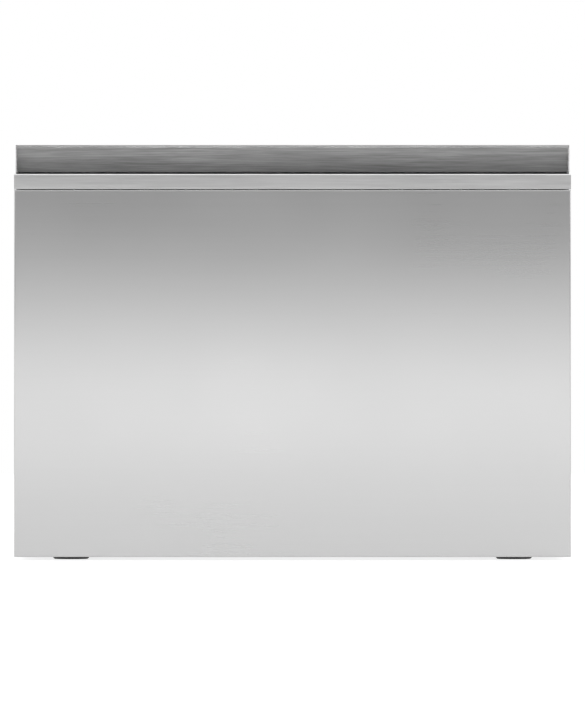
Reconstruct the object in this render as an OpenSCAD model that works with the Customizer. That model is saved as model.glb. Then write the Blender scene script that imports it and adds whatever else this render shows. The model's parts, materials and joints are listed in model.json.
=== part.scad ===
// Built-in dishwasher with one pull-out wash drawer, shown closed.
// X runs across the front, Y from front to back and Z up, in millimetres.
// The origin is on the floor at the centre of the footprint, and the front looks along -Y.

/* [Front] */
// Width of the front panel
front_w = 598; // [592:1:600]
// Height of the top edge of the front above the floor
top_z = 446.5; // [444:0.5:450]
// Height of the bottom edge of the front above the floor
door_z0 = 4; // [3:0.5:6]
// Height of the bright grip rail
rail_h = 16.5; // [14:0.5:18]
// Depth of the grip rail, front to back
rail_d = 10.5; // [9:0.5:12]
// Height of the finger recess above the grip rail
recess_h = 31; // [28:0.1:34]
// How far each end of the recess stands in from the end of the grip rail
recess_inset = 1.75; // [1:0.25:3]
// Shadow line between the front panel and the grip rail
groove = 0.7; // [0.6:0.1:2]
// Depth of the folded front panel
panel_d = 20; // [18:1:22]
// Radius of the folds of the front panel
fold_r = 1.6; // [1.5:0.1:2.5]

/* [Case] */
// Depth from the front face to the rear panel
depth = 573; // [570:1:580]
// Width over the side panels
case_w = 592; // [588:1:592]
// Thickness of the case sheet
case_t = 1.2; // [1:0.1:1.5]
// Height of the rubber feet
foot_h = 8; // [7:0.5:9]

/* [Drawer] */
// Travel of the drawer
travel = 450; // [420:5:450]
// Width of the tub outside
tub_w = 510; // [506:1:512]
// Depth of the tub outside, front to back
tub_d = 444; // [436:1:446]
// Thickness of the tub wall
tub_t = 2.5; // [2:0.1:3]
// Radius of the tub's upright corners
tub_r = 42; // [36:1:46]
// Height of the drawer runners
runner_h = 52; // [50:1:54]

/* [Lid] */
// Drop of the lid from raised to sealed
lid_drop = 8; // [6:0.5:8]
// Travel of each yoke for each millimetre of drop
yoke_ratio = 2; // [2:1:2]
// Diameter of the lid's guide pins
lid_pin_d = 5; // [4.5:0.1:5.5]
// Module of the rack and pinion
gear_m = 1.25; // [1.2:0.01:1.3]
// Teeth on each pinion
gear_teeth = 16; // [16:1:18]

/* [Racks] */
// Height of the rack floor above the tub floor
rack_lift = 58; // [54:1:62]
// Diameter of the thick rack wires
wire_d = 5; // [4:0.5:5]
// Diameter of the thin rack wires
thin_wire_d = 3; // [2.5:0.5:3.5]
// Length of the folding plate tines
tine_h = 82; // [70:1:84]

/* [Hidden] */
$fn = 48;

// Clearances: between parts that move, and on the radius of a pin in its hole
gap = 0.3;
run = 0.05;
// A cut runs this far past the face it opens
eps = 1;

// Planes of the front
front_y = -depth / 2;
rear_y = depth / 2;
half_w = front_w / 2;
rail_z1 = top_z - recess_h;
rail_z0 = rail_z1 - rail_h;
panel_z1 = rail_z0 - groove;
panel_back = front_y + panel_d;
steel_t = 1;

// Finger recess: nose, sloping face with a hemmed foot, and the channel below it
recess_t = 1.2;
recess_half = half_w - recess_inset;
nose_r = 2;
face_turn = 133;
lean = face_turn - 90;
nose = [front_y + 6, top_z - nose_r];
face_start = nose + nose_r * [cos(90 + face_turn), sin(90 + face_turn)];
recess_floor = rail_z0 + recess_t;
recess_wall_y = front_y + 35.5;
channel_front_y = front_y + rail_d;
face_foot_z = rail_z1 + 2.8;
hem_r = 2.2;
face_foot_y = face_start[0] + (face_start[1] - face_foot_z) * tan(lean);
hem_c = [face_foot_y + hem_r * cos(lean), face_foot_z + hem_r * sin(lean)];
hem_z = hem_c[1] - hem_r;
hem_y = recess_wall_y + recess_t;
liner_t = 1.2;
cap_t = 1.5;

// Case
case_half = case_w / 2;
case_in = case_half - case_t;
case_top = top_z - 2.5;
case_front_y = front_y + 24.5;
notch_y = front_y + 51.5;
notch_z = recess_floor - 9.2;
base_z = foot_h + 1.5;
rear_in = rear_y - case_t;
foot_d = 40;
foot_x = 240;
foot_front_y = front_y + 91;
foot_rear_y = rear_y - 60;

// Tub
tub_front = front_y + 54.5;
tub_back = tub_front + tub_d;
tub_cy = (tub_front + tub_back) / 2;
tub_half = tub_w / 2;
rim_z = top_z - 42.5;
rim_t = 6;
rim_half = tub_half + 7;
rim_front = tub_front - 5.5;
rim_back = tub_back + 6;
rim_r = tub_r + 4;
floor_r = 46;
tub_floor = 82.5;
tub_bottom = tub_floor - tub_t;
well_r = 97.5;
well_floor = 68.5;
well_bottom = well_floor - tub_t;
shaft_r = 4;

// Deep part of the front that enters the case
deep_half = 266;
deep_back = tub_front - 2.5;
deep_front = panel_back + 2.3;
deep_z0 = 26;
inner_top = rim_z - rim_t - 2;

// Dispenser in the tub's front wall
disp_half = 64;
disp_z0 = 308;
disp_z1 = 380;
disp_face = tub_front + tub_t + 3;
flap_axis = [disp_face + 3.5, disp_z0 + 2];
flap_x0 = -57.5;
flap_x1 = 1.5;
cap_axis = [36, 345];

// Runners, given for the right-hand side
runner_z = 178;
runner_out = case_in;
outer_half_h = runner_h / 2;
mid_half_h = outer_half_h - 10;
inner_half_h = mid_half_h - 10;
outer_y0 = case_front_y + 4;
outer_y1 = 212;
mid_y0 = outer_y0 + 2;
mid_y1 = 205;
inner_y1 = 205;
bracket_x = 272;

// Lid, drawn raised; its seal meets the rim when it has dropped
lid_z = rim_z + gap + lid_drop;
lid_half = rim_half - 1;
lid_front = rim_front + 1.5;
lid_back = rim_back - 1;
lid_plate = lid_z + 3.7;
lid_pin_z = lid_z + 14.7;
lid_pin_y = [-170, 150];
yoke_travel = lid_drop * yoke_ratio;
guide_x = lid_half + 2;
guide_t = 2;
yoke_x = guide_x + guide_t + 1.5;
yoke_t = 3;
yoke_z0 = lid_pin_z - 15;
yoke_z1 = lid_pin_z + 7;
stud_y = [-60, 80];
stud_d = 6;
stud_z = lid_pin_z - 4;
slot_play = 0.6;

// Rack and pinion behind the lid
pitch_r = gear_m * gear_teeth / 2;
tooth_pitch = PI * gear_m;
pinion_y = 240;
rack_root = yoke_z0;
rack_dedendum = 1.5;
rack_addendum = 1.1;
pinion_addendum = 1.2;
pinion_z = rack_root - rack_dedendum - pitch_r;
backlash = 0.4;
pressure = 20;

// Folding arms that carry the hoses under the drawer
link_w = 34;
link_h = 11;
link_z0 = base_z + 2;
link_base = [130, 258];
link_end_y = tub_back - 8;
link_slack = 8;
link_l = (travel + link_base[1] - link_end_y) / 2 + link_slack;
link_fold = asin((link_base[1] - link_end_y) / (2 * link_l));
link_elbow = link_base - link_l * [cos(link_fold), sin(link_fold)];
link_end = [link_base[0], link_end_y];
link_pin_d = 12;
lug_z0 = link_z0 + 2 * link_h + 1;

// Rear fittings in the recess of the rear panel
bay_x = [-240, -60];
bay_z = [36, 120];
fit_plate_y = rear_y - 20.5;
valve_x = -200;
drain_x = -140;
mains_x = -95;
fit_z = 70;
inlet_hose_z = 92;
drain_hose_d = 16;
inlet_hose_d = 12;
bend_r = 20;
spigot_y = fit_plate_y - case_t - 12;
hose_y = spigot_y - bend_r;
inlet_hose_y = fit_plate_y - case_t - 26;

// Racks
rack_z = tub_floor + rack_lift;
rack_half = 235;
rack_y0 = tub_front + 16;
rack_y1 = tub_back - 16;
rack_top = 285;
// Distance from the middle to a flat of an eight-sided wire, over its radius
flat = cos(22.5);
side_wire_d = wire_d - 0.6;
side_y0 = rack_y0 + wire_d / 2 * flat;
side_y1 = rack_y1 - wire_d / 2 * flat;
cross_n = 12;
cross_z = rack_z + 1.6;
function cross_y(i) = rack_y0 + (rack_y1 - rack_y0) * i / cross_n;
spray_c = [0, tub_cy];
filter_c = spray_c + [52, 52];
filter_d = 44;
tine_x = [60, 160];
tine_n = 13;
tine_pitch = 28;
tine_z = rack_z + 6;
basket_lo = [-134, -190, cross_z + thin_wire_d / 2 * flat];
basket_hi = [-68, 20, rack_z + 105];
cup_axis = [-rack_half + 9, 252];
cup_reach = 76;

// Controls on the top edge
key_y = front_y + 31.5;
key_size = [15.4, 8.4];
key_x = [-120, -88, 120];
board_z = top_z - 14;
board_t = 1.6;
window_half = 50;

// ---------------------------------------------------------------- outlines and tools

// Points of an arc about c from angle a0 to a1
function arc(c, r, a0, a1, n = 6) =
    [for (i = [0:n]) let (a = a0 + (a1 - a0) * i / n) c + r * [cos(a), sin(a)]];

// Rectangle with round corners between two corner points
function rounded(lo, hi, r, n = 6) = concat(
    arc([hi[0] - r, hi[1] - r], r, 0, 90, n),
    arc([lo[0] + r, hi[1] - r], r, 90, 180, n),
    arc([lo[0] + r, lo[1] + r], r, 180, 270, n),
    arc([hi[0] - r, lo[1] + r], r, 270, 360, n));

// Slot of width w whose round ends are centred on p and q
function slot(p, q, w, n = 8) =
    let (a = atan2(q[1] - p[1], q[0] - p[0]))
    concat(arc(q, w / 2, a - 90, a + 90, n), arc(p, w / 2, a + 90, a + 270, n));

function unit(v) = v / norm(v);
function left_of(a, b) = let (u = unit(b - a)) [-u[1], u[0]];

// Offset of point i of an open path, t to its left
function shifted(path, i, t) =
    let (
        last = len(path) - 1,
        n1 = i > 0 ? left_of(path[i - 1], path[i]) : left_of(path[0], path[1]),
        n2 = i < last ? left_of(path[i], path[i + 1]) : n1,
        m = unit(n1 + n2)
    )
    path[i] + m * t / (m * n1);

// Closed outline of sheet folded along a path, with its thickness t to the left
function folded(path, t) =
    concat(path, [for (i = [len(path) - 1:-1:0]) shifted(path, i, t)]);

// Outlines are drawn in YZ, XZ and XY, and extruded along the third axis
module along_x(x0, x1) {
    translate([x0, 0, 0]) rotate([90, 0, 90]) linear_extrude(x1 - x0) children();
}
module along_y(y0, y1) {
    translate([0, y1, 0]) rotate([90, 0, 0]) linear_extrude(y1 - y0) children();
}
module along_z(z0, z1) {
    translate([0, 0, z0]) linear_extrude(z1 - z0) children();
}
module box(lo, hi) {
    translate(lo) cube(hi - lo);
}
module rod_x(p, l, d) {
    translate(p) rotate([0, 90, 0]) cylinder(d = d, h = l);
}
module rod_y(p, l, d) {
    translate(p) rotate([-90, 0, 0]) cylinder(d = d, h = l);
}
module rod_z(p, l, d) {
    translate(p) cylinder(d = d, h = l);
}
module mirror_x(on = true) {
    mirror([on ? 1 : 0, 0, 0]) children();
}
// Quarter bend of a hose about the origin, from +X round to +Y
module bend(r, d) {
    rotate_extrude(angle = 90) translate([r, 0]) circle(d = d);
}

// ---------------------------------------------------------------- case

module chassis_base() color("#b9bcbe") {
    flange_z = 20;
    bead = [180, 215, 250];
    bead_w = 14;
    bead_h = 3;
    difference() {
        union() {
            box([-case_in, case_front_y, foot_h], [case_in, rear_in, base_z]);
            for (s = [-1, 1])
                translate([s * (case_in - case_t / 2) - case_t / 2, case_front_y, foot_h])
                    cube([case_t, rear_in - case_front_y, flange_z - foot_h]);
            box([-case_in, case_front_y, foot_h], [case_in, case_front_y + case_t, flange_z]);
            box([-case_in, rear_in - case_t, foot_h], [case_in, rear_in, flange_z + 10]);
            for (x = bead, s = [-1, 1])
                along_z(base_z - 0.2, base_z + bead_h)
                    polygon(slot([s * x, -190], [s * x, 190], bead_w));
        }
        for (x = bead, s = [-1, 1])
            along_z(foot_h - eps, base_z + bead_h - case_t)
                polygon(slot([s * x, -190], [s * x, 190], bead_w - 2 * case_t));
    }
    link_pedestal();
}

// Post and arm on the base that hold the rear hose link
module link_pedestal() {
    arm_z = lug_z0 + 1.5;
    half = 18;
    x = link_base[0];
    y = link_base[1];
    rod_z([x, y, base_z - 0.2], arm_z - base_z + 1, link_pin_d);
    difference() {
        along_z(arm_z, arm_z + 10)
            polygon(rounded([x - half, hose_y - 10], [x + half + 6, rear_in - 4], 6));
        rod_z([x - 6, hose_y, arm_z - eps], 12, drain_hose_d - 4);
        rod_z([x + 12, inlet_hose_y, arm_z - eps], 12, inlet_hose_d - 4);
    }
    box([x - half, rear_in - 7.5, base_z - 0.2], [x + half + 6, rear_in - 4, arm_z + 1]);
}

// Side panel with its stepped front edge, flanges and pressed beads
module side_panel() {
    flange = 10;
    bead_z = [60, 120, 240, 330];
    bead_w = 16;
    front_flange = [[foot_h + 14, runner_z - outer_half_h - 6],
                    [runner_z + outer_half_h + 6, notch_z - 2]];
    difference() {
        union() {
            along_x(case_in, case_half)
                polygon([[case_front_y, foot_h], [rear_in, foot_h], [rear_in, case_top],
                         [notch_y, case_top], [notch_y, notch_z], [case_front_y, notch_z]]);
            for (z = front_flange)
                box([case_in - flange, case_front_y, z[0]], [case_in, case_front_y + case_t, z[1]]);
            box([case_in - flange, rear_in - case_t, foot_h + 40], [case_in, rear_in, case_top - 30]);
            for (z = bead_z)
                along_x(case_in - case_t, case_in + 0.2)
                    polygon(slot([-190, z], [190, z], bead_w));
        }
        for (z = bead_z)
            along_x(case_half - case_t, case_half + eps)
                polygon(slot([-190, z], [190, z], bead_w - 2 * case_t));
        for (z = [70, 330])
            rod_y([case_in - flange / 2, case_front_y - eps, z], 4, 5);
    }
}
module side_panel_left() color("#a9adb0") mirror_x() side_panel();
module side_panel_right() color("#a9adb0") side_panel();

module top_panel() color("#a9adb0") {
    t0 = case_top - case_t;
    bead_y = [-150, -50, 50, 150];
    bead_w = 18;
    rise = 1.2;
    difference() {
        union() {
            box([-case_in, notch_y, t0], [case_in, rear_in, case_top]);
            for (s = [-1, 1])
                translate([s * (case_in - case_t / 2) - case_t / 2, -225, t0 - 21])
                    cube([case_t, 500, 22]);
            box([-case_in, notch_y, t0 - 6], [case_in, notch_y + case_t, case_top]);
            box([-case_in + 20, rear_in - case_t, t0 - 10], [case_in - 20, rear_in, case_top]);
            for (y = bead_y)
                along_z(case_top - 0.2, case_top + rise)
                    polygon(slot([-240, y], [240, y], bead_w));
        }
        for (y = bead_y)
            along_z(t0 - eps, case_top + rise - case_t)
                polygon(slot([-240, y], [240, y], bead_w - 2 * case_t));
    }
}

module rear_panel() color("#a9adb0") {
    vent_x = [for (i = [0:8]) 60 + 18 * i];
    difference() {
        union() {
            box([-case_half, rear_in, foot_h], [case_half, rear_y, case_top]);
            difference() {
                box([bay_x[0] - case_t, fit_plate_y - case_t, bay_z[0] - case_t],
                    [bay_x[1] + case_t, rear_in + 0.2, bay_z[1] + case_t]);
                box([bay_x[0], fit_plate_y, bay_z[0]], [bay_x[1], rear_y + eps, bay_z[1]]);
            }
        }
        box([bay_x[0], fit_plate_y, bay_z[0]], [bay_x[1], rear_y + eps, bay_z[1]]);
        for (x = vent_x)
            along_y(rear_in - eps, rear_y + eps) polygon(slot([x, 60], [x, 110], 6, 4));
        rod_y([valve_x, fit_plate_y - 3, fit_z], 4, 27);
        rod_y([drain_x, fit_plate_y - 3, fit_z], 4, 20.6);
        rod_y([mains_x, fit_plate_y - 3, fit_z], 4, 16.4);
    }
}

// Four ribbed rubber feet
module foot_pads() color("#2b2b2b") {
    for (x = [-foot_x, foot_x], y = [foot_front_y, foot_rear_y])
        translate([x, y, 0]) difference() {
            rotate_extrude()
                polygon([[0, 0], [foot_d / 2 - 2, 0], [foot_d / 2, 2], [foot_d / 2 - 3, foot_h],
                         [0, foot_h]]);
            translate([0, 0, -eps]) cylinder(d = 14, h = 3);
        }
}

// ---------------------------------------------------------------- drawer runners

// C-section opening inboard: back at x1, flanges reach x0, lips turn inwards
module channel(x0, x1, half_h, lip, t, y0, y1) {
    along_y(y0, y1) translate([0, runner_z]) difference() {
        polygon([[x0, -half_h], [x1, -half_h], [x1, half_h], [x0, half_h]]);
        polygon([[x0 - eps, -half_h + lip], [x0 + t, -half_h + lip], [x0 + t, -half_h + t],
                 [x1 - t, -half_h + t], [x1 - t, half_h - t], [x0 + t, half_h - t],
                 [x0 + t, half_h - lip], [x0 - eps, half_h - lip]]);
    }
}
module outer_runner() {
    difference() {
        channel(runner_out - 13, runner_out, outer_half_h, 6, 2, outer_y0, outer_y1);
        for (y = [-200, -60, 60, 180])
            rod_x([runner_out - 5, y, runner_z], 10, 6);
    }
}
module mid_runner() {
    difference() {
        channel(runner_out - 19, runner_out - 3, mid_half_h, 5, 2, mid_y0, mid_y1);
        for (y = [-150, 0, 150])
            along_x(runner_out - 6, runner_out)
                polygon(slot([y - 20, runner_z], [y + 20, runner_z], 10));
    }
}
// The inner member opens outboard
module inner_runner() {
    flange_x = runner_out - 9;
    difference() {
        box([bracket_x, deep_back + 0.5, runner_z - inner_half_h],
            [flange_x, inner_y1, runner_z + inner_half_h]);
        box([bracket_x + 2, deep_back - eps, runner_z - inner_half_h + 2],
            [flange_x + eps, inner_y1 + eps, runner_z + inner_half_h - 2]);
    }
}
module outer_runner_left() color("#c9ccce") mirror_x() outer_runner();
module outer_runner_right() color("#c9ccce") outer_runner();
module mid_runner_left() color("#c9ccce") mirror_x() mid_runner();
module mid_runner_right() color("#c9ccce") mid_runner();
module inner_runner_left() color("#c9ccce") mirror_x() inner_runner();
module inner_runner_right() color("#c9ccce") inner_runner();

// Sheet brackets that carry the tub and the front on the inner runners
module tub_brackets() color("#b9bcbe") {
    y0 = deep_back;
    y1 = tub_back - tub_r - 6;
    h = outer_half_h + 2;
    for (s = [0, 1]) mirror_x(s == 1) {
        difference() {
            union() {
                box([bracket_x - 2, y0, runner_z - h], [bracket_x, y1, runner_z + h]);
                box([tub_half, tub_front + tub_r, runner_z + h - 2], [bracket_x, y1, runner_z + h]);
                box([tub_half, tub_front + tub_r, runner_z - h], [bracket_x, y1, runner_z - h + 2]);
                box([deep_half - 9, y0, runner_z - h], [bracket_x, y0 + 2, runner_z + h]);
            }
            for (y = [-140, -70, 0, 70])
                along_x(bracket_x - 4, bracket_x + eps)
                    polygon(slot([y - 14, runner_z + 18], [y + 14, runner_z + 18], 8));
        }
    }
}

// ---------------------------------------------------------------- lid and its lift

module lid() color("#d7d9da") {
    skirt = 16;
    wall = 2.5;
    r = rim_r - 1;
    rib_top = lid_plate + 13;
    plate_t = 3;
    rib = 1.2;
    z0 = lid_plate + plate_t - 0.2;
    boss = [10, 7];
    pin_in = 6;
    difference() {
        along_z(lid_plate, lid_plate + skirt)
            polygon(rounded([-lid_half, lid_front], [lid_half, lid_back], r));
        along_z(lid_plate + plate_t, lid_plate + skirt + eps)
            polygon(rounded([-lid_half + wall, lid_front + wall],
                            [lid_half - wall, lid_back - wall], r - wall));
    }
    for (x = [-160, -80, 0, 80, 160])
        box([x - rib, lid_front + 1, z0], [x + rib, lid_back - 1, rib_top]);
    for (y = [-130, -10, 110])
        box([-lid_half + 1, y - rib, z0], [lid_half - 1, y + rib, rib_top]);
    for (y = lid_pin_y, s = [0, 1])
        mirror_x(s == 1) {
            box([lid_half - 1 - boss[0], y - boss[1], z0],
                [lid_half - 1, y + boss[1], lid_plate + skirt - 0.5]);
            rod_x([lid_half - pin_in, y, lid_pin_z],
                  yoke_x + yoke_t + 2 + pin_in - lid_half, lid_pin_d);
        }
}

// Rubber seal under the lid: a flat root and a narrow lip
module seal_ring(out, wide, z0, z1) {
    r = rim_r - 1 - out;
    along_z(z0, z1) difference() {
        polygon(rounded([-lid_half + out, lid_front + out], [lid_half - out, lid_back - out], r));
        polygon(rounded([-lid_half + out + wide, lid_front + out + wide],
                        [lid_half - out - wide, lid_back - out - wide], r - wide));
    }
}
module lid_seal() color("#3a3c3d") {
    seal_ring(0.5, 5.5, lid_plate - 1.7, lid_plate);
    seal_ring(1.5, 3, lid_z, lid_plate - 1.6);
}

// Fixed channel over each side of the lid: upright slots keep the lid square,
// and studs carry the sliding yoke
module lid_guide() {
    x_out = case_in - case_t;
    z0 = rim_z + 4.5;
    z1 = case_top - 4;
    y0 = -222;
    y1 = 212;
    difference() {
        along_y(y0, y1)
            polygon([[guide_x, z0], [guide_x + guide_t, z0], [guide_x + guide_t, z1 - guide_t],
                     [x_out - guide_t, z1 - guide_t], [x_out - guide_t, z1 - 16], [x_out, z1 - 16],
                     [x_out, z1], [guide_x, z1]]);
        for (y = lid_pin_y)
            along_x(guide_x - eps, guide_x + guide_t + eps)
                polygon(slot([y, lid_pin_z - lid_drop - gap], [y, lid_pin_z + gap],
                             lid_pin_d + slot_play));
        for (y = [-110, 10, 120])
            along_z(z1 - guide_t - eps, z1 + eps)
                polygon(slot([guide_x + 10, y - 22], [guide_x + 10, y + 22], 9));
    }
    for (y = stud_y)
        rod_x([guide_x + guide_t - 0.2, y, stud_z], yoke_t + 3.5, stud_d);
}
module lid_guide_left() color("#a9adb0") mirror_x() lid_guide();
module lid_guide_right() color("#a9adb0") lid_guide();

// Tooth of the rack, pointing down from the root line, centred on y
module rack_tooth(y) {
    half = tooth_pitch / 4 - backlash / 4;
    slope = tan(pressure);
    root = half + rack_dedendum * slope;
    tip = half - rack_addendum * slope;
    reach = rack_dedendum + rack_addendum;
    polygon([[y - root, rack_root + 0.1], [y - tip, rack_root - reach],
             [y + tip, rack_root - reach], [y + root, rack_root + 0.1]]);
}

// Sliding cam plate: inclined slots lower the lid, level slots ride on the studs,
// and rack teeth at the rear mesh with the pinion
module lid_yoke() {
    y0 = -214;
    y1 = 262;
    neck_z = yoke_z0 + 8;
    teeth = 5;
    along_x(yoke_x, yoke_x + yoke_t) difference() {
        union() {
            polygon(concat([[y1, yoke_z0], [y1, yoke_z1 - 4], [pinion_y - 30, yoke_z1]],
                           arc([y0 + 5, yoke_z1 - 5], 5, 90, 180),
                           arc([y0 + 5, yoke_z0 + 5], 5, 180, 270)));
            for (i = [-teeth - 2:teeth]) rack_tooth(pinion_y + i * tooth_pitch);
        }
        for (y = lid_pin_y)
            polygon(slot([y + gap, lid_pin_z + gap * 0.5],
                         [y - yoke_travel - gap, lid_pin_z - lid_drop - gap * 0.5],
                         lid_pin_d + slot_play));
        for (y = stud_y)
            polygon(slot([y + gap, stud_z], [y - yoke_travel - gap, stud_z], stud_d + slot_play));
        for (y = [-110, 10, 115])
            polygon(slot([y - 18, neck_z], [y + 18, neck_z], 7));
    }
}
module lid_yoke_left() color("#8f9498") mirror_x() lid_yoke();
module lid_yoke_right() color("#8f9498") lid_yoke();

// Involute flank point at radius r, as an angle from the middle of its tooth
function involute(a) = tan(a) * 180 / PI - a;
function flank_angle(r) =
    let (
        base_r = pitch_r * cos(pressure),
        a = acos(min(1, base_r / r)),
        half = (tooth_pitch / 2 - backlash / 2) / 2 / pitch_r * 180 / PI
    )
    half + involute(pressure) - involute(a);
// Outline of one tooth about direction d, from root to tip and back
function pinion_tooth(d) =
    let (
        base_r = pitch_r * cos(pressure),
        root_r = pitch_r - 1.5,
        tip_r = pitch_r + pinion_addendum,
        radii = [for (i = [0:4]) base_r + (tip_r - base_r) * i / 4],
        up = concat([[root_r, flank_angle(base_r)]], [for (r = radii) [r, flank_angle(r)]])
    )
    concat([for (p = up) p[0] * [cos(d - p[1]), sin(d - p[1])]],
           [for (i = [len(up) - 1:-1:0]) up[i][0] * [cos(d + up[i][1]), sin(d + up[i][1])]]);

// Pinion with its shaft; at rest a gap between two teeth points up at the rack
module lid_pinion() {
    step = 360 / gear_teeth;
    outline = [for (i = [0:gear_teeth - 1]) each pinion_tooth(90 + step * (i + 0.5))];
    x0 = yoke_x - 1;
    along_x(x0, x0 + yoke_t + 2) translate([pinion_y, pinion_z]) polygon(outline);
    rod_x([x0 - 1, pinion_y, pinion_z], 20, 4);
}
module lid_pinion_left() color("#e9e6dc") mirror_x() lid_pinion();
module lid_pinion_right() color("#e9e6dc") lid_pinion();

// Geared motor on the side panel that drives one pinion
module lid_motor() {
    x0 = yoke_x + yoke_t + 3.5;
    difference() {
        union() {
            along_x(x0, case_in)
                polygon(rounded([pinion_y - 16, pinion_z - 18], [pinion_y + 36, pinion_z + 17], 6));
            along_x(x0 + 4, case_in)
                polygon(rounded([pinion_y - 16, pinion_z - 60], [pinion_y + 14, pinion_z - 10], 4));
        }
        rod_x([x0 - eps, pinion_y, pinion_z], 15, 4 + 2 * run);
        for (i = [0:4]) let (z = pinion_z - 26 - 6 * i)
            along_x(x0 + 3, x0 + 6) polygon(slot([pinion_y - 10, z], [pinion_y + 8, z], 2, 4));
    }
}
module lid_motor_left() color("#4b4f52") mirror_x() lid_motor();
module lid_motor_right() color("#4b4f52") lid_motor();

// ---------------------------------------------------------------- water and power at the rear

module inlet_valve() color("#e4e6e4") {
    body_y = fit_plate_y - case_t;
    difference() {
        union() {
            box([valve_x - 17, body_y - 34, fit_z - 16], [valve_x + 17, body_y, fit_z + 14]);
            rod_y([valve_x, body_y - 1, fit_z], 18, 26.4);
            rod_x([valve_x, inlet_hose_y, inlet_hose_z], 20, 10);
            box([valve_x - 12, body_y - 34, fit_z + 13], [valve_x + 12, body_y - 4, fit_z + 44]);
        }
        rod_y([valve_x, body_y - 10, fit_z], 40, 16);
    }
}

module drain_spigot() color("#3c3f41") {
    difference() {
        union() {
            rod_y([drain_x, spigot_y, fit_z], 12 + case_t + 18, 20);
            rod_y([drain_x, fit_plate_y, fit_z], 3, 34);
        }
        rod_y([drain_x, spigot_y - eps, fit_z], 40, 15);
    }
}

module mains_terminal_box() color("#d9dcd8") {
    y1 = fit_plate_y - case_t;
    difference() {
        union() {
            along_y(y1 - 18, y1)
                polygon(rounded([mains_x - 20, fit_z - 16], [mains_x + 24, fit_z + 14], 4));
            rod_y([mains_x, y1 - 0.2, fit_z], 14, 16);
        }
        rod_y([mains_x, y1 - 15, fit_z], 40, 9);
        box([mains_x - 17, y1 - 20, fit_z - 13], [mains_x + 21, y1 - 14, fit_z + 11]);
    }
}

// Drain hose and inlet hose from the rear fittings to the hose link
module rear_hoses() color("#55585a") {
    drop_z = lug_z0 + 11.5;
    x = link_base[0];
    drain_drop = x - 6;
    inlet_drop = x + 12;
    translate([drain_x + bend_r, spigot_y, fit_z]) rotate([0, 0, 180]) bend(bend_r, drain_hose_d);
    rod_x([drain_x + bend_r, hose_y, fit_z], drain_drop - drain_x - 2 * bend_r, drain_hose_d);
    translate([drain_drop - bend_r, hose_y, fit_z - bend_r]) rotate([90, 0, 0])
        bend(bend_r, drain_hose_d);
    rod_z([drain_drop, hose_y, drop_z], fit_z - bend_r - drop_z, drain_hose_d);
    rod_x([valve_x + 20, inlet_hose_y, inlet_hose_z], inlet_drop - bend_r - valve_x - 20, inlet_hose_d);
    translate([inlet_drop - bend_r, inlet_hose_y, inlet_hose_z - bend_r]) rotate([90, 0, 0])
        bend(bend_r, inlet_hose_d);
    rod_z([inlet_drop, inlet_hose_y, drop_z], inlet_hose_z - bend_r - drop_z, inlet_hose_d);
}

// ---------------------------------------------------------------- hose link

// Arm from p to q with a bore at p; the hoses run inside it
module link_arm(p, q, z0) {
    difference() {
        along_z(z0, z0 + link_h) polygon(slot(p, q, link_w, 12));
        rod_z([p[0], p[1], z0 - eps], link_h + 2 * eps, link_pin_d + 2 * run);
        along_z(z0 + link_h - 1, z0 + link_h + eps) difference() {
            polygon(slot(p + 24 * unit(q - p), q - 24 * unit(q - p), link_w - 8));
            polygon(slot(p + 24 * unit(q - p), q - 24 * unit(q - p), link_w - 10));
        }
    }
}
module hose_link_rear() color("#6b7073") {
    link_arm(link_base, link_elbow, link_z0);
    rod_z([link_elbow[0], link_elbow[1], link_z0 + link_h - 0.2], link_h + 0.2, link_pin_d);
}
module hose_link_front() color("#7b8083") {
    difference() {
        link_arm(link_elbow, link_end, link_z0 + link_h + 0.5);
        rod_z([link_end[0], link_end[1], link_z0 + link_h - eps], link_h + 3, link_pin_d);
    }
}

// ---------------------------------------------------------------- front

// Solid of the front panel drawn in by i on every outer face, open at the back
module panel_solid(i, back) {
    r = fold_r - i;
    y = front_y + fold_r;
    intersection() {
        along_z(door_z0 + i, panel_z1 - i)
            polygon(concat([[half_w - i, back], [-half_w + i, back]],
                           arc([-half_w + fold_r, y], r, 180, 270),
                           arc([half_w - fold_r, y], r, 270, 360)));
        along_x(-half_w - eps, half_w + eps)
            polygon(concat([[back, door_z0 + i], [back, panel_z1 - i]],
                           arc([y, panel_z1 - fold_r], r, 90, 180),
                           arc([y, door_z0 + fold_r], r, 180, 270)));
    }
}
module door_panel() color("#cfd1d2") {
    lip = 13;
    difference() {
        panel_solid(0, panel_back);
        panel_solid(steel_t, panel_back + eps);
    }
    difference() {
        box([-half_w, panel_back - steel_t, door_z0], [half_w, panel_back, panel_z1]);
        box([-half_w + lip, panel_back - 3, door_z0 + lip],
            [half_w - lip, panel_back + eps, panel_z1 - lip]);
    }
}

// Folded grip rail, open below, with closed ends
module grip_rail() color("#d4d6d7") {
    r = 1.6;
    t = 1.2;
    y1 = front_y + rail_d;
    path = concat([[front_y, rail_z0]],
                  arc([front_y + r, rail_z1 - r], r, 180, 90),
                  arc([y1 - r, rail_z1 - r], r, 90, 0),
                  [[y1, recess_floor + 1]]);
    along_x(-half_w, half_w) polygon(folded(path, -t));
    for (x = [-half_w, half_w - t])
        along_x(x, x + t) polygon(rounded([front_y, rail_z0], [y1, rail_z1], r));
}

// Finger recess: a sheet folded over the top edge, down the sloping face and back at its foot
module recess_panel() color("#9a9c9d") {
    path = concat([[front_y + 14.5, top_z]],
                  arc(nose, nose_r, 90, 90 + face_turn, 8),
                  arc(hem_c, hem_r, 180 + lean, 270, 4),
                  [[hem_y, hem_z]]);
    cap_front = front_y + 3.5;
    cap_z = rail_z1 + 1.3;
    along_x(-recess_half, recess_half) polygon(folded(path, recess_t));
    for (x = [-recess_half, recess_half - cap_t])
        along_x(x, x + cap_t)
            polygon([[cap_front, top_z], [cap_front, cap_z], [recess_wall_y - gap, cap_z],
                     [recess_wall_y - gap, hem_z], [hem_y, hem_z], [hem_y, top_z]]);
}
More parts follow.
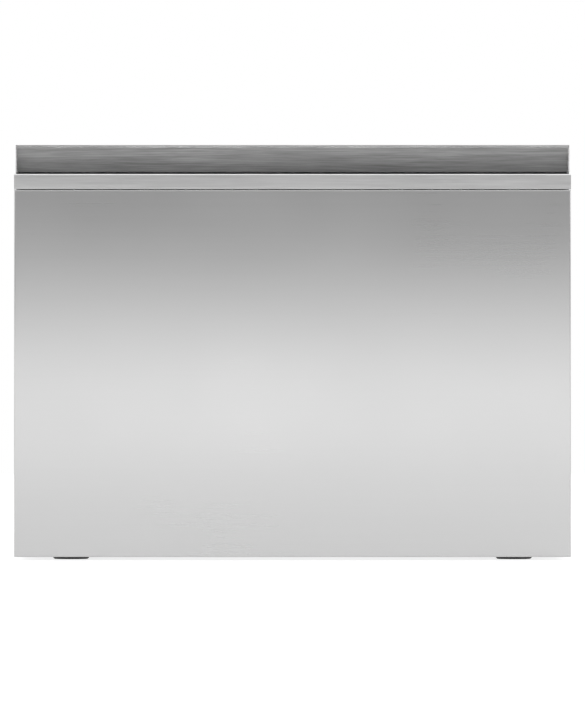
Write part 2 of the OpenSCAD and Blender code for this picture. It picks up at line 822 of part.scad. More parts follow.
// Trough behind the grip rail: back wall, floor and front flange, with closed ends
module finger_channel() {
    back_r = 5;
    front_r = 3;
    front = channel_front_y + liner_t;
    wall_z = hem_z - gap;
    path = concat([[recess_wall_y, wall_z]],
                  arc([recess_wall_y - back_r, recess_floor + back_r], back_r, 0, -90, 4),
                  arc([front + front_r, recess_floor + front_r], front_r, -90, -180, 3),
                  [[front, recess_floor + 9]]);
    along_x(-recess_half, recess_half) polygon(folded(path, liner_t));
    for (x = [-recess_half, recess_half - cap_t])
        box([x, channel_front_y + gap, recess_floor - liner_t],
            [x + cap_t, recess_wall_y + liner_t, rail_z1 + 1]);
}

// Moulded inner of the front: frame, deep box and ribs
module door_inner() color("#e6e7e7") {
    wall = 2.5;
    difference() {
        union() {
            difference() {
                box([-half_w + 3, panel_back, door_z0 + 4], [half_w - 3, deep_front, inner_top]);
                box([-deep_half + wall, panel_back - eps, deep_z0 + wall],
                    [deep_half - wall, deep_front + eps, inner_top - wall]);
            }
            difference() {
                box([-deep_half, panel_back, deep_z0], [deep_half, deep_back, inner_top]);
                box([-deep_half + wall, panel_back - eps, deep_z0 + wall],
                    [deep_half - wall, deep_back - wall, inner_top - wall]);
            }
            box([-deep_half, panel_back, inner_top - wall], [deep_half, rim_front - 3, rail_z0]);
            for (x = [-210, -140, -70, 70, 140, 210])
                box([x - 1, panel_back + 6, deep_z0 + 1], [x + 1, deep_back - 1, inner_top - 1]);
            for (z = [100, 180, 260])
                box([-deep_half + 1, panel_back + 6, z - 1], [deep_half - 1, deep_back - 1, z + 1]);
        }
        box([-disp_half - 2, deep_back - 17.5, disp_z0 - 2],
            [disp_half + 2, deep_back + eps, disp_z1 + 2]);
    }
}

// Line parallel to the recess's sloping face and clear of its back: height at y, and y at height z
function behind_face(y) =
    face_start[1] - (y - face_start[0]) / tan(lean) + (recess_t + gap) / sin(lean);
function face_behind(z) =
    face_start[0] + (face_start[1] - z) * tan(lean) + (recess_t + gap) / cos(lean);

// Hollow control strip behind the recess, open below, moulded in one with the finger channel
module control_housing() color("#3f4244") {
    half = recess_half - 2;
    y0 = front_y + 14.7;
    y1 = notch_y - 3.5;
    wall = 2.5;
    ledge_z = top_z - recess_t;
    ledge_y = front_y + 7.5;
    skirt_h = 11.5;
    shelf_z = recess_floor + 6;
    post_x = 180;
    post_y = y0 + 9;
    fused_y = recess_wall_y + liner_t / 2;
    hem_top = hem_z + recess_t + gap;
    difference() {
        union() {
            finger_channel();
            box([-half, y0, top_z - wall], [half, y1, top_z]);
            box([-half, ledge_y, ledge_z - wall], [half, y0 + 2, ledge_z]);
            box([-half, y0, top_z - skirt_h], [half, y0 + 2.3, top_z]);
            box([-half, y1 - wall, recess_floor + 1], [half, y1, top_z]);
            box([-half, fused_y, shelf_z], [half, y1, shelf_z + wall]);
            for (x = [-post_x, post_x])
                box([x, post_y, board_z + board_t], [x + wall, y1 - 1, top_z - 1]);
            for (x = [-half, half - wall])
                along_x(x, x + wall)
                    polygon([[post_y, top_z - 1], [post_y, behind_face(post_y)],
                             [face_behind(hem_top), hem_top], [hem_y + gap, hem_top],
                             [hem_y + gap, hem_z - gap], [fused_y, hem_z - gap],
                             [fused_y, recess_floor + 2], [y1 - 1, recess_floor + 2],
                             [y1 - 1, top_z - 1]]);
        }
        for (x = key_x) key_solid(x, gap, top_z - wall - eps, top_z + eps);
        along_z(top_z - 1.4, top_z + eps)
            polygon(rounded([-window_half - 0.1, key_y - 8.1], [window_half + 0.1, key_y + 8.1], 3));
        along_z(top_z - wall - eps, top_z)
            polygon(rounded([-window_half + 4, key_y - 5], [window_half - 4, key_y + 5], 2));
    }
}
module key_solid(x, grow, z0, z1) {
    w = key_size / 2 + [grow, grow];
    along_z(z0, z1) polygon(rounded([x - w[0], key_y - w[1]], [x + w[0], key_y + w[1]], 2.5 + grow));
}
// Key with the flange that holds it under the strip and the stem that meets its switch
module key_cap(x) {
    key_solid(x, 0, top_z - 4, top_z - 0.2);
    key_solid(x, 1.3, top_z - 5.4, top_z - 3.2);
    rod_z([x, key_y, board_z + 3.1], 6, 4);
}
module button_power() color("#c7cacb") key_cap(key_x[0]);
module button_program() color("#c7cacb") key_cap(key_x[1]);
module button_start() color("#c7cacb") key_cap(key_x[2]);

module display_window() color("#101214") {
    along_z(top_z - 1.4, top_z - 0.2)
        polygon(rounded([-window_half, key_y - 8], [window_half, key_y + 8], 3));
}

// Circuit board held on the posts of the control strip, with switches, display and chips
module control_board() color("#1f6b45") {
    half = 184;
    t = board_t;
    box([-half, front_y + 25.5, board_z], [half, notch_y - 6, board_z + t]);
    for (x = key_x)
        box([x - 3, key_y - 3, board_z + t - 0.2], [x + 3, key_y + 3, board_z + t + 0.6]);
    box([-window_half + 6, key_y - 6, board_z + t - 0.2], [window_half - 6, key_y + 6, board_z + 8]);
    for (x = [-150, 70, 90, 150])
        box([x - 5, key_y - 4, board_z - 3], [x + 5, key_y + 4, board_z + 0.2]);
}

// ---------------------------------------------------------------- tub and wash system

// Outline between a and b with round lower corners, a little wider than the tub's walls
function trough(a, b, z0, z1, r) =
    let (over = 0.4)
    concat([[b + over, z1], [a - over, z1]],
           arc([a - over + r, z0 + r], r, 180, 270),
           arc([b + over - r, z0 + r], r, 270, 360));

// Body of the tub drawn in by i: upright walls that round into the floor
module tub_solid(i, z_top) {
    lo = [-tub_half + i, tub_front + i];
    hi = [tub_half - i, tub_back - i];
    z0 = tub_bottom + i;
    r = floor_r - i;
    intersection() {
        along_z(z0 - eps, z_top) polygon(rounded(lo, hi, tub_r - i));
        along_y(lo[1] - eps, hi[1] + eps) polygon(trough(lo[0], hi[0], z0, z_top + eps, r));
        along_x(lo[0] - eps, hi[0] + eps) polygon(trough(lo[1], hi[1], z0, z_top + eps, r));
    }
}
module tub() color("#dfe1e2") {
    difference() {
        union() {
            tub_solid(0, rim_z - 1);
            along_z(rim_z - rim_t, rim_z)
                polygon(rounded([-rim_half, rim_front], [rim_half, rim_back], rim_r));
            rod_z([spray_c[0], spray_c[1], well_bottom], tub_floor - well_bottom - 0.5,
                  2 * (well_r + tub_t));
            link_lug();
        }
        tub_solid(tub_t, rim_z + 2);
        rod_z([spray_c[0], spray_c[1], well_floor], 30, 2 * well_r);
        rod_z([spray_c[0], spray_c[1], well_bottom - eps], 10, 2 * shaft_r + 4);
        box([-disp_half, tub_front - eps, disp_z0], [disp_half, tub_front + tub_t + eps, disp_z1]);
    }
}
// Lug under the tub where the front hose link ends
module link_lug() {
    x = link_end[0];
    half = 18;
    difference() {
        union() {
            box([x - half, tub_back - 52, lug_z0 + 2], [x + half, tub_back - 34, tub_bottom + 1]);
            along_z(lug_z0, lug_z0 + 20)
                polygon(rounded([x - half, tub_back - 52], [x + half, tub_back + 5], 6));
        }
        rod_z([link_end[0], link_end[1], lug_z0 - eps], 14, link_pin_d - 2);
    }
}

// Flat motor under the well, with cooling fins and the drain outlet
module wash_motor() color("#3b3f42") {
    z1 = well_bottom;
    z0 = z1 - 28;
    c = spray_c;
    difference() {
        union() {
            translate([c[0], c[1], 0]) rotate_extrude()
                polygon([[0, z0], [60, z0], [72, z0 + 6], [74, z1 - 6],
                         [92, z1 - 6], [92, z1], [0, z1]]);
            rod_y([60, c[1] + 20, z1 - 14], 70, 17);
            for (a = [0:24:359])
                translate([c[0], c[1], 0]) rotate(a) box([50, -1.2, z0 + 4], [86, 1.2, z1 - 5.8]);
        }
        rod_z([c[0], c[1], z0 + 6], 40, 2 * (shaft_r + run));
        rod_y([60, c[1] + 60, z1 - 14], 31, 11);
    }
}

// Hose from the motor's outlet to the lug of the hose link
module tub_hose() color("#55585a") {
    z = well_bottom - 14;
    y0 = spray_c[1] + 90;
    y1 = tub_back - 43;
    x0 = 60;
    x1 = link_end[0] - 18;
    rod_y([x0, y0, z], y1 - bend_r - y0, 18);
    translate([x0 + bend_r, y1 - bend_r, z]) rotate([0, 0, 90]) bend(bend_r, 18);
    rod_x([x0 + bend_r, y1, z], x1 - x0 - bend_r, 18);
}

module heater_ring() color("#b8bbbd") {
    r = 84;
    translate([spray_c[0], spray_c[1], well_floor + 6.5])
        rotate_extrude() translate([r, 0]) circle(d = 8);
    for (a = [30:120:359])
        translate([spray_c[0], spray_c[1], 0]) rotate(a)
            box([r - 5, -3, well_floor], [r + 5, 3, well_floor + 5]);
}

// Shallow dished plate over the well, with drain slots and the hollow riser of the spray arm
module filter_plate() color("#9fa4a7") {
    c = spray_c;
    z = tub_floor;
    difference() {
        translate([c[0], c[1], 0]) rotate_extrude()
            polygon([[6, z + 5], [110, z + 5], [150, z], [160, z], [160, z + 2], [150, z + 3],
                     [110, z + 8], [14, z + 8], [10, z + 12], [10, z + 22], [6, z + 22]]);
        for (a = [0:15:359])
            translate([c[0], c[1], 0]) rotate(a) box([114, -2, z - 2], [144, 2, z + 12]);
        for (a = [0:30:359])
            translate([c[0], c[1], 0]) rotate(a) box([26, -2, z], [46, 2, z + 12]);
        rod_z([filter_c[0], filter_c[1], z], 20, filter_d + 2 * gap);
    }
}
// Lift-out cup with a slotted wall and a handle across its mouth
module drain_filter() color("#6f767a") {
    c = filter_c;
    z0 = tub_floor - 2.5;
    flange_z = tub_floor + 8;
    wall = 2;
    difference() {
        union() {
            rod_z([c[0], c[1], z0], flange_z - z0 + 1, filter_d);
            rod_z([c[0], c[1], flange_z], 1.5, filter_d + 6);
        }
        rod_z([c[0], c[1], z0 + wall], 20, filter_d - 2 * wall);
        for (a = [15:30:359])
            translate([c[0], c[1], 0]) rotate(a)
                box([filter_d / 2 - 6, -1.5, z0 + 3], [filter_d / 2 + 4, 1.5, z0 + 7.5]);
    }
    box([c[0] - filter_d / 2 + 1, c[1] - 1.5, z0 + 8], [c[0] + filter_d / 2 - 1, c[1] + 1.5, z0 + 14]);
}

// Impeller in the well with its shaft in the motor
module wash_rotor() color("#cfd4d6") {
    c = spray_c;
    z = well_floor + 3;
    translate([c[0], c[1], 0]) {
        rod_z([0, 0, well_bottom - 20], 26, 2 * shaft_r);
        rod_z([0, 0, z], 2.5, 96);
        rod_z([0, 0, z], 12, 24);
        for (a = [0:45:359])
            rotate(a) translate([11, 0, z + 2]) rotate(28) translate([0, -1.2, 0]) cube([33, 2.4, 9]);
    }
}

// Two-lobed spray arm with jets, turning on the riser of the filter plate
module spray_arm() color("#8d9498") {
    c = spray_c;
    z = tub_floor + 13;
    reach = 188;
    translate([c[0], c[1], z]) difference() {
        union() {
            rotate_extrude() polygon([[0, 0], [22, 0], [26, 6], [26, 14], [20, 20], [0, 20]]);
            for (a = [0, 180]) rotate(a) hull() {
                cylinder(r = 22, h = 12, $fn = 32);
                translate([90, 8, 1]) cylinder(r = 22, h = 10, $fn = 32);
                translate([reach - 12, 0, 2]) cylinder(r = 12, h = 7, $fn = 32);
            }
        }
        translate([0, 0, -eps]) cylinder(r = 10 + run, h = 12);
        for (a = [0, 180], r = [48:26:178])
            rotate(a) translate([r, 4, 6]) cylinder(d = 4, h = 10);
    }
}

// ---------------------------------------------------------------- dispenser

module dispenser_housing() color("#c3c7c9") {
    flange_y = tub_front + tub_t;
    back = flange_y - 20;
    ear_d = 7;
    difference() {
        union() {
            along_y(flange_y, disp_face)
                polygon(rounded([-disp_half - 8, disp_z0 - 6], [disp_half + 8, disp_z1 + 6], 8));
            box([-disp_half + 0.5, back, disp_z0 + 0.5],
                [disp_half - 0.5, flange_y + 0.2, disp_z1 - 0.5]);
            for (x = [flap_x0 - 4, flap_x1 + 1]) {
                rod_x([x, flap_axis[0], flap_axis[1]], 3, ear_d);
                box([x, disp_face - 0.2, flap_axis[1] - ear_d / 2],
                    [x + 3, flap_axis[0], flap_axis[1] + ear_d / 2]);
            }
        }
        along_y(back + 2.5, disp_face + eps)
            polygon(rounded([flap_x0 + 4, flap_axis[1] + 6], [flap_x1 - 4, disp_z1 - 16], 6));
        rod_y([cap_axis[0], back + 6, cap_axis[1]], 30, 20);
        rod_x([flap_x0 - 5, flap_axis[0], flap_axis[1]], 70, 3 + 2 * run);
    }
}
// Flap over the detergent cup with its hinge pin
module dispenser_flap() color("#eef0f0") {
    y = flap_axis[0];
    z = flap_axis[1];
    z1 = disp_z1 - 12;
    rod_x([flap_x0 - 3.5, y, z], flap_x1 - flap_x0 + 7, 3);
    rod_x([flap_x0, y, z], flap_x1 - flap_x0, 5.6);
    along_x(flap_x0, flap_x1) polygon([[y - 3.2, z], [y - 0.8, z], [y - 0.8, z1], [y - 3.2, z1]]);
    along_x(-34, -22) polygon([[y - 1, z1 - 8], [y + 2, z1 - 4], [y + 2, z1], [y - 1, z1]]);
}
module rinse_cap() color("#aeb4b7") {
    x = cap_axis[0];
    z = cap_axis[1];
    y = disp_face;
    rod_y([x, y - 12, z], 12.4, 20 - 2 * run);
    rod_y([x, y + gap, z], 4.5, 34);
    along_y(y + 4, y + 12) polygon(slot([x - 12, z], [x + 12, z], 5));
}

// ---------------------------------------------------------------- racks

// Rack wires are eight-sided, which keeps their welded crossings simple
module wire_x(p, l, d) {
    translate(p) rotate([0, 90, 0]) rotate(22.5) cylinder(d = d, h = l, $fn = 8);
}
module wire_y(p, l, d) {
    translate(p) rotate([-90, 0, 0]) rotate(22.5) cylinder(d = d, h = l, $fn = 8);
}
module wire_z(p, l, d) {
    translate(p) rotate(22.5) cylinder(d = d, h = l, $fn = 8);
}

module rack_base() color("#9aa0a4") {
    w = 2 * rack_half;
    l = rack_y1 - rack_y0;
    along_n = 8;
    leg_x = 196;
    foot = 7;
    for (y = [rack_y0, rack_y1]) wire_x([-rack_half - 2, y, rack_z], w + 4, wire_d);
    for (x = [-rack_half, rack_half]) wire_y([x, rack_y0, rack_z], l, side_wire_d);
    for (i = [1:cross_n - 1]) wire_x([-rack_half, cross_y(i), cross_z], w, thin_wire_d);
    for (i = [1:along_n - 1])
        wire_y([-rack_half + w * i / along_n, rack_y0, rack_z - 1], l, thin_wire_d);
    for (x = [-leg_x, leg_x], i = [2, cross_n - 2]) let (y = cross_y(i)) {
        wire_z([x, y, tub_floor + 1], rack_z - tub_floor, wire_d);
        box([x - foot, y - foot, tub_floor], [x + foot, y + foot, tub_floor + 6]);
    }
    for (x = tine_x, i = [3, 7, 9]) tine_clip(x, cross_y(i));
}
// Block that carries a tine row's rod
module tine_clip(x, y) {
    difference() {
        box([x - 5, y - 3, rack_z - 0.5], [x + 5, y + 3, tine_z + 4.5]);
        rod_y([x, y - 4, tine_z], 8, 4 + 2 * run);
    }
}

// Upright wire wall between a and b along one axis, standing on a wire of diameter base_d
module rack_wall(a, b, n, along_width, base_d) {
    z0 = rack_z + base_d / 2 * flat;
    levels = [rack_z + 50, rack_top];
    for (z = levels)
        if (along_width) wire_x([a, 0, z], b - a, wire_d);
        else wire_y([0, a, z], b - a, wire_d);
    for (i = [0:n]) let (p = a + 4 + (b - a - 8) * i / n)
        if (along_width) wire_z([p, 0, z0], rack_top - z0, thin_wire_d);
        else wire_z([0, p, z0], rack_top - z0, thin_wire_d);
}
module rack_front() color("#9aa0a4")
    translate([0, rack_y0, 0]) rack_wall(-rack_half - 2, rack_half + 2, 10, true, wire_d);
module rack_rear() color("#9aa0a4")
    translate([0, rack_y1, 0]) rack_wall(-rack_half - 2, rack_half + 2, 10, true, wire_d);
module rack_left() color("#9aa0a4") {
    translate([-rack_half, 0, 0]) rack_wall(side_y0, side_y1, 9, false, side_wire_d);
    for (y = [-130, 110])
        difference() {
            box([-rack_half - 1, y - 4, cup_axis[1] - 5], [cup_axis[0] + 5, y + 4, cup_axis[1] + 5]);
            rod_y([cup_axis[0], y - 5, cup_axis[1]], 10, 4 + 2 * run);
        }
    wire_y([-rack_half, side_y0, cup_axis[1]], side_y1 - side_y0, thin_wire_d);
}
module rack_right() color("#9aa0a4")
    translate([rack_half, 0, 0]) rack_wall(side_y0, side_y1, 9, false, side_wire_d);

// Folding row of plate tines on its own rod
module tine_row(x) {
    y0 = tub_cy - tine_pitch * (tine_n - 1) / 2;
    rod_y([x, y0 - 8, tine_z], tine_pitch * (tine_n - 1) + 16, 4);
    for (i = [0:tine_n - 1]) {
        y = y0 + i * tine_pitch;
        rod_z([x, y, tine_z], tine_h, thin_wire_d);
        translate([x, y, tine_z + tine_h]) sphere(d = thin_wire_d + 1.5, $fn = 16);
    }
}
module plate_tines_left() color("#9aa0a4") tine_row(tine_x[0]);
module plate_tines_right() color("#9aa0a4") tine_row(tine_x[1]);

// Folding rack for cups, drawn in its lowered place
module cup_rack() color("#9aa0a4") {
    x = cup_axis[0];
    z = cup_axis[1];
    y0 = -160;
    y1 = 140;
    rod_y([x, y0, z], y1 - y0, 4);
    for (r = [cup_reach * 0.5, cup_reach])
        wire_y([x + r, y0, z], y1 - y0, 3.5);
    for (i = [0:10]) let (y = y0 + 10 + (y1 - y0 - 20) * i / 10)
        wire_x([x, y, z], cup_reach + 1, thin_wire_d);
}

// Moulded basket with fine slots in its walls and floor
module cutlery_basket() color("#7d8386") {
    lo = basket_lo;
    hi = basket_hi;
    wall = 2.4;
    half_slot = 1.7;
    pitch = 7;
    across = [for (x = [lo[0] + 12:pitch:hi[0] - 12]) x];
    difference() {
        box(lo, hi);
        box(lo + [wall, wall, wall], hi + [-wall, -wall, eps]);
        for (y = [lo[1] + 14:pitch:hi[1] - 14], z = [lo[2] + 12, lo[2] + 56])
            box([lo[0] - eps, y - half_slot, z], [hi[0] + eps, y + half_slot, z + 34]);
        for (x = across)
            box([x - half_slot, lo[1] - eps, lo[2] + 12], [x + half_slot, hi[1] + eps, lo[2] + 90]);
        for (x = across, y = [lo[1] + 15:18:hi[1] - 15])
            box([x - half_slot, y - 6, lo[2] - eps], [x + half_slot, y + 6, lo[2] + wall + eps]);
    }
}
// Arched carrying handle over a bar that runs from end to end of the basket
module basket_handle() color("#8b9194") {
    mid = (basket_lo[0] + basket_hi[0]) / 2;
    half_t = 3;
    y0 = basket_lo[1] + 2.4;
    y1 = basket_hi[1] - 2.4;
    z0 = basket_lo[2] + 50;
    arch_z = basket_hi[2] + 14;
    leg = 6;
    bar = 10;
    r = 30;
    along_x(mid - half_t, mid + half_t)
        difference() {
            polygon(concat([[y0, z0], [y1, z0]], arc([y1 - r, arch_z], r, 0, 90),
                           arc([y0 + r, arch_z], r, 90, 180)));
            polygon(concat([[y0 + leg, z0 + bar], [y1 - leg, z0 + bar]],
                           arc([y1 - r, arch_z], r - leg, 0, 90),
                           arc([y0 + r, arch_z], r - leg, 90, 180)));
        }
}

// ---------------------------------------------------------------- assembly

chassis_base();
side_panel_left();
side_panel_right();
top_panel();
rear_panel();
foot_pads();
outer_runner_left();
outer_runner_right();
lid_guide_left();
lid_guide_right();
lid_motor_left();
lid_motor_right();
inlet_valve();
drain_spigot();
mains_terminal_box();
rear_hoses();
mid_runner_left();
mid_runner_right();
hose_link_rear();
hose_link_front();
lid();
lid_seal();
lid_yoke_left();
lid_yoke_right();
lid_pinion_left();
lid_pinion_right();
door_panel();
grip_rail();
recess_panel();
door_inner();
control_housing();
display_window();
control_board();
tub();
tub_brackets();
inner_runner_left();
inner_runner_right();
wash_motor();
heater_ring();
filter_plate();
drain_filter();
tub_hose();
dispenser_housing();
rack_base();
rack_front();
rack_rear();
rack_left();
rack_right();
cutlery_basket();
basket_handle();
spray_arm();
wash_rotor();
button_power();
button_program();
button_start();
dispenser_flap();
rinse_cap();
plate_tines_left();
plate_tines_right();
cup_rack();
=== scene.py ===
"""Dishwasher drawer: finishes, small pieces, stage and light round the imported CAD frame."""

import json
import math

import bmesh
import bpy
from mathutils import Matrix, Vector


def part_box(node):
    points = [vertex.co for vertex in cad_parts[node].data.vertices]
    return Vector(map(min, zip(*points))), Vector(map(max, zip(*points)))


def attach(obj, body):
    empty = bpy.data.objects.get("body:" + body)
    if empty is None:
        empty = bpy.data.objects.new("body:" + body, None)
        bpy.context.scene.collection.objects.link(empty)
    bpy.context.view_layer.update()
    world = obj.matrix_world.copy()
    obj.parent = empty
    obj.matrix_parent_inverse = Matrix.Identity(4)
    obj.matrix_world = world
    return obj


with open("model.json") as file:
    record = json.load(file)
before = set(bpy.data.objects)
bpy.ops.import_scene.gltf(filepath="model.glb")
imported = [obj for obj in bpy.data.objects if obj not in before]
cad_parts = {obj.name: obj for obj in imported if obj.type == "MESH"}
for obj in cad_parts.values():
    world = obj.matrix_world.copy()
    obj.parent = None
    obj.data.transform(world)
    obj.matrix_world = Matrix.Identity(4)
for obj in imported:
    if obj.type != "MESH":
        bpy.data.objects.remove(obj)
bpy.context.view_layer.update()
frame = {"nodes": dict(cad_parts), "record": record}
nodes = frame["nodes"]

MM = 0.001
TAU = 2 * math.pi
SUBPARTS = {s["node"]: s["material_slot"] for s in frame["record"]["subparts"]}

# ------------------------------------------------------------------ camera

FRONT_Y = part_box("door_panel")[0][1]
TOP_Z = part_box("recess_panel")[1][2]
DOOR_Z0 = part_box("door_panel")[0][2]
# The photo is 702 px high and shows 1.0736 mm per px at the front, with no perspective to be seen
PHOTO_ROWS = 702
MM_PER_PX = 1.0736
FIELD_H = PHOTO_ROWS * MM_PER_PX * MM
CAMERA_D = 9.0
SENSOR = 36.0

cam_data = bpy.data.cameras.new("camera")
cam_data.sensor_width = SENSOR
cam_data.lens = SENSOR * CAMERA_D / FIELD_H
cam_data.clip_end = 50
camera = bpy.data.objects.new("camera", cam_data)
camera.location = (0, FRONT_Y - CAMERA_D, (TOP_Z + DOOR_Z0) / 2)
camera.rotation_euler = (math.pi / 2, 0, 0)
bpy.context.scene.collection.objects.link(camera)
bpy.context.scene.camera = camera
bpy.context.scene.view_settings.view_transform = "Standard"

# ------------------------------------------------------------------ node helpers

EVEN = (1, 1, 1)


class Graph:
    """A material's node tree with short ways to add and join nodes."""

    def __init__(self, name):
        self.mat = bpy.data.materials.new(name)
        self.mat.use_nodes = True
        self.tree = self.mat.node_tree
        self.bsdf = next(n for n in self.tree.nodes if n.type == "BSDF_PRINCIPLED")
        self.coord = None

    def node(self, kind, **values):
        n = self.tree.nodes.new(kind)
        for k, v in values.items():
            setattr(n, k, v)
        return n

    def link(self, a, b):
        self.tree.links.new(a, b)

    def set(self, **values):
        """Plain values on the shader's own sockets."""
        for k, v in values.items():
            self.bsdf.inputs[k.replace("_", " ")].default_value = v

    def use(self, **sockets):
        """Outputs joined to the shader's sockets; gives the finished material."""
        for k, v in sockets.items():
            self.link(v, self.bsdf.inputs[k.replace("_", " ")])
        return self.mat

    def only(self, shader):
        """A shader's output instead of the Principled one."""
        self.tree.nodes.remove(self.bsdf)
        out = next(n for n in self.tree.nodes if n.type == "OUTPUT_MATERIAL")
        self.link(shader, out.inputs["Surface"])
        return self.mat

    def point(self, stretch=EVEN):
        """Object coordinates in metres, scaled by stretch."""
        if self.coord is None:
            self.coord = self.node("ShaderNodeTexCoord")
        m = self.node("ShaderNodeMapping")
        m.inputs["Scale"].default_value = stretch
        self.link(self.coord.outputs["Object"], m.inputs["Vector"])
        return m.outputs["Vector"]

    def noise(self, scale, stretch=EVEN, detail=3.0, rough=0.5):
        n = self.node("ShaderNodeTexNoise")
        n.inputs["Scale"].default_value = scale
        n.inputs["Detail"].default_value = detail
        n.inputs["Roughness"].default_value = rough
        self.link(self.point(stretch), n.inputs["Vector"])
        return n.outputs["Fac"]

    def span(self, fac, lo, hi, f0=0.0, f1=1.0):
        """fac from f0..f1 mapped on to lo..hi."""
        n = self.node("ShaderNodeMapRange")
        for k, v in zip(("From Min", "From Max", "To Min", "To Max"), (f0, f1, lo, hi)):
            n.inputs[k].default_value = v
        self.link(fac, n.inputs["Value"])
        return n.outputs["Result"]

    def mix(self, fac, a, b):
        """Colour between a and b."""
        n = self.node("ShaderNodeMix", data_type="RGBA")
        self.link(fac, n.inputs["Factor"])
        for value, name in ((a, "A"), (b, "B")):
            sock = next(s for s in n.inputs if s.name == name and s.type == "RGBA")
            if isinstance(value, bpy.types.NodeSocket):
                self.link(value, sock)
            else:
                sock.default_value = (*value, 1)
        return next(s for s in n.outputs if s.type == "RGBA")

    def math(self, op, a, b):
        n = self.node("ShaderNodeMath", operation=op)
        for i, v in enumerate((a, b)):
            if isinstance(v, bpy.types.NodeSocket):
                self.link(v, n.inputs[i])
            else:
                n.inputs[i].default_value = v
        return n.outputs["Value"]

    def bump(self, height, strength, distance):
        n = self.node("ShaderNodeBump")
        n.inputs["Strength"].default_value = strength
        n.inputs["Distance"].default_value = distance
        self.link(height, n.inputs["Height"])
        return n.outputs["Normal"]


def tinted(color, k):
    return tuple(min(1.0, c * k) for c in color)


# ------------------------------------------------------------------ finishes


def brushed(name, color, rough, grain, tone, along="x", tint=1.0, metal=1.0, thin=900.0, long=6.0,
            uneven=0.05):
    """Steel brushed along one axis: streaks in tone, gloss (uneven) and height (grain).

    thin and long are the scales of the streaks across and along the brushing.
    """
    g = Graph(name)
    color = tinted(color, tint)
    stretch = {"x": (long, thin, thin), "y": (thin, long, thin), "z": (thin, thin, long)}[along]
    coarse = tuple(s * 0.22 for s in stretch)
    fine = g.noise(1.0, stretch, detail=4.0, rough=0.6)
    broad = g.noise(1.0, coarse, detail=3.0, rough=0.5)
    streak = g.math("ADD", g.math("MULTIPLY", fine, 0.6), g.math("MULTIPLY", broad, 0.4))
    cloud = g.noise(5.0, detail=2.0)
    g.set(Metallic=metal, Anisotropic=0.4)
    base = g.mix(g.span(streak, 0, 1, 0.35, 0.65), tinted(color, 1 - tone), tinted(color, 1 + tone))
    roughness = g.math("ADD", g.span(streak, rough - uneven, rough + uneven, 0.3, 0.7),
                       g.span(cloud, -0.02, 0.02, 0.3, 0.7))
    return g.use(Base_Color=base, Roughness=roughness, Normal=g.bump(streak, grain, 0.0002))


def galvanised(name, color, rough):
    """Zinc-coated sheet with a faint spangle and dull stains."""
    g = Graph(name)
    cells = g.node("ShaderNodeTexVoronoi")
    cells.inputs["Scale"].default_value = 90
    g.link(g.point(), cells.inputs["Vector"])
    grey = g.node("ShaderNodeRGBToBW")
    g.link(cells.outputs["Color"], grey.inputs["Color"])
    spangle = grey.outputs["Val"]
    stain = g.noise(14, detail=4.0)
    g.set(Metallic=0.85)
    base = g.mix(spangle, tinted(color, 0.94), tinted(color, 1.05))
    dull = g.mix(g.span(stain, 0, 0.2, 0.45, 0.75), base, tinted(color, 0.82))
    roughness = g.math("ADD", g.span(spangle, rough - 0.07, rough + 0.07), g.span(stain, 0, 0.08))
    return g.use(Base_Color=dull, Roughness=roughness, Normal=g.bump(stain, 0.05, 0.0004))


def plastic(name, color, rough, grain, scale=1400, coat=0.0):
    """Moulded plastic: spark-eroded grain, slight colour drift and handling marks."""
    g = Graph(name)
    grainy = g.noise(scale)
    drift = g.noise(9)
    marks = g.noise(120, (1, 1, 6), detail=5.0, rough=0.7)
    if coat:
        g.set(Coat_Weight=coat, Coat_Roughness=0.06)
    base = g.mix(g.span(drift, 0, 1, 0.3, 0.7), tinted(color, 0.95), tinted(color, 1.05))
    roughness = g.math("ADD", g.span(drift, rough - 0.04, rough + 0.04, 0.3, 0.7),
                       g.span(marks, 0, 0.12, 0.55, 0.8))
    return g.use(Base_Color=base, Roughness=roughness, Normal=g.bump(grainy, grain, 0.00015))


def rubber(name, color, rough=0.7):
    """Rubber with fine specks and a pale bloom."""
    g = Graph(name)
    speck = g.noise(900, detail=4.0)
    bloom = g.noise(25, detail=4.0)
    base = g.mix(g.span(bloom, 0, 1, 0.4, 0.75), color, tinted(color, 1.7))
    return g.use(Base_Color=base, Roughness=g.span(bloom, rough - 0.1, rough + 0.1, 0.3, 0.7),
                 Normal=g.bump(speck, 0.25, 0.0002))


def flock(name, color):
    """Matt black flock with a short pile, used as a sheet of painted shade."""
    g = Graph(name)
    pile = g.noise(2600)
    g.set(Specular_IOR_Level=0.1, Sheen_Weight=0.05)
    return g.use(Base_Color=g.mix(pile, tinted(color, 0.6), tinted(color, 1.5)),
                 Roughness=g.span(pile, 0.9, 1.0), Normal=g.bump(pile, 0.4, 0.0003))


def laminate(name, color):
    """Circuit board: solder mask over copper tracks."""
    g = Graph(name)
    tracks = g.node("ShaderNodeTexBrick")
    for k, v in (("Scale", 1), ("Brick Width", 0.011), ("Row Height", 0.0021),
                 ("Mortar Size", 0.00035)):
        tracks.inputs[k].default_value = v
    g.link(g.point(), tracks.inputs["Vector"])
    g.set(Coat_Weight=0.4, Coat_Roughness=0.15)
    base = g.mix(tracks.outputs["Fac"], color, tinted(color, 2.2))
    return g.use(Base_Color=base, Roughness=g.span(g.noise(300), 0.35, 0.5),
                 Normal=g.bump(tracks.outputs["Fac"], 0.2, 0.0001))


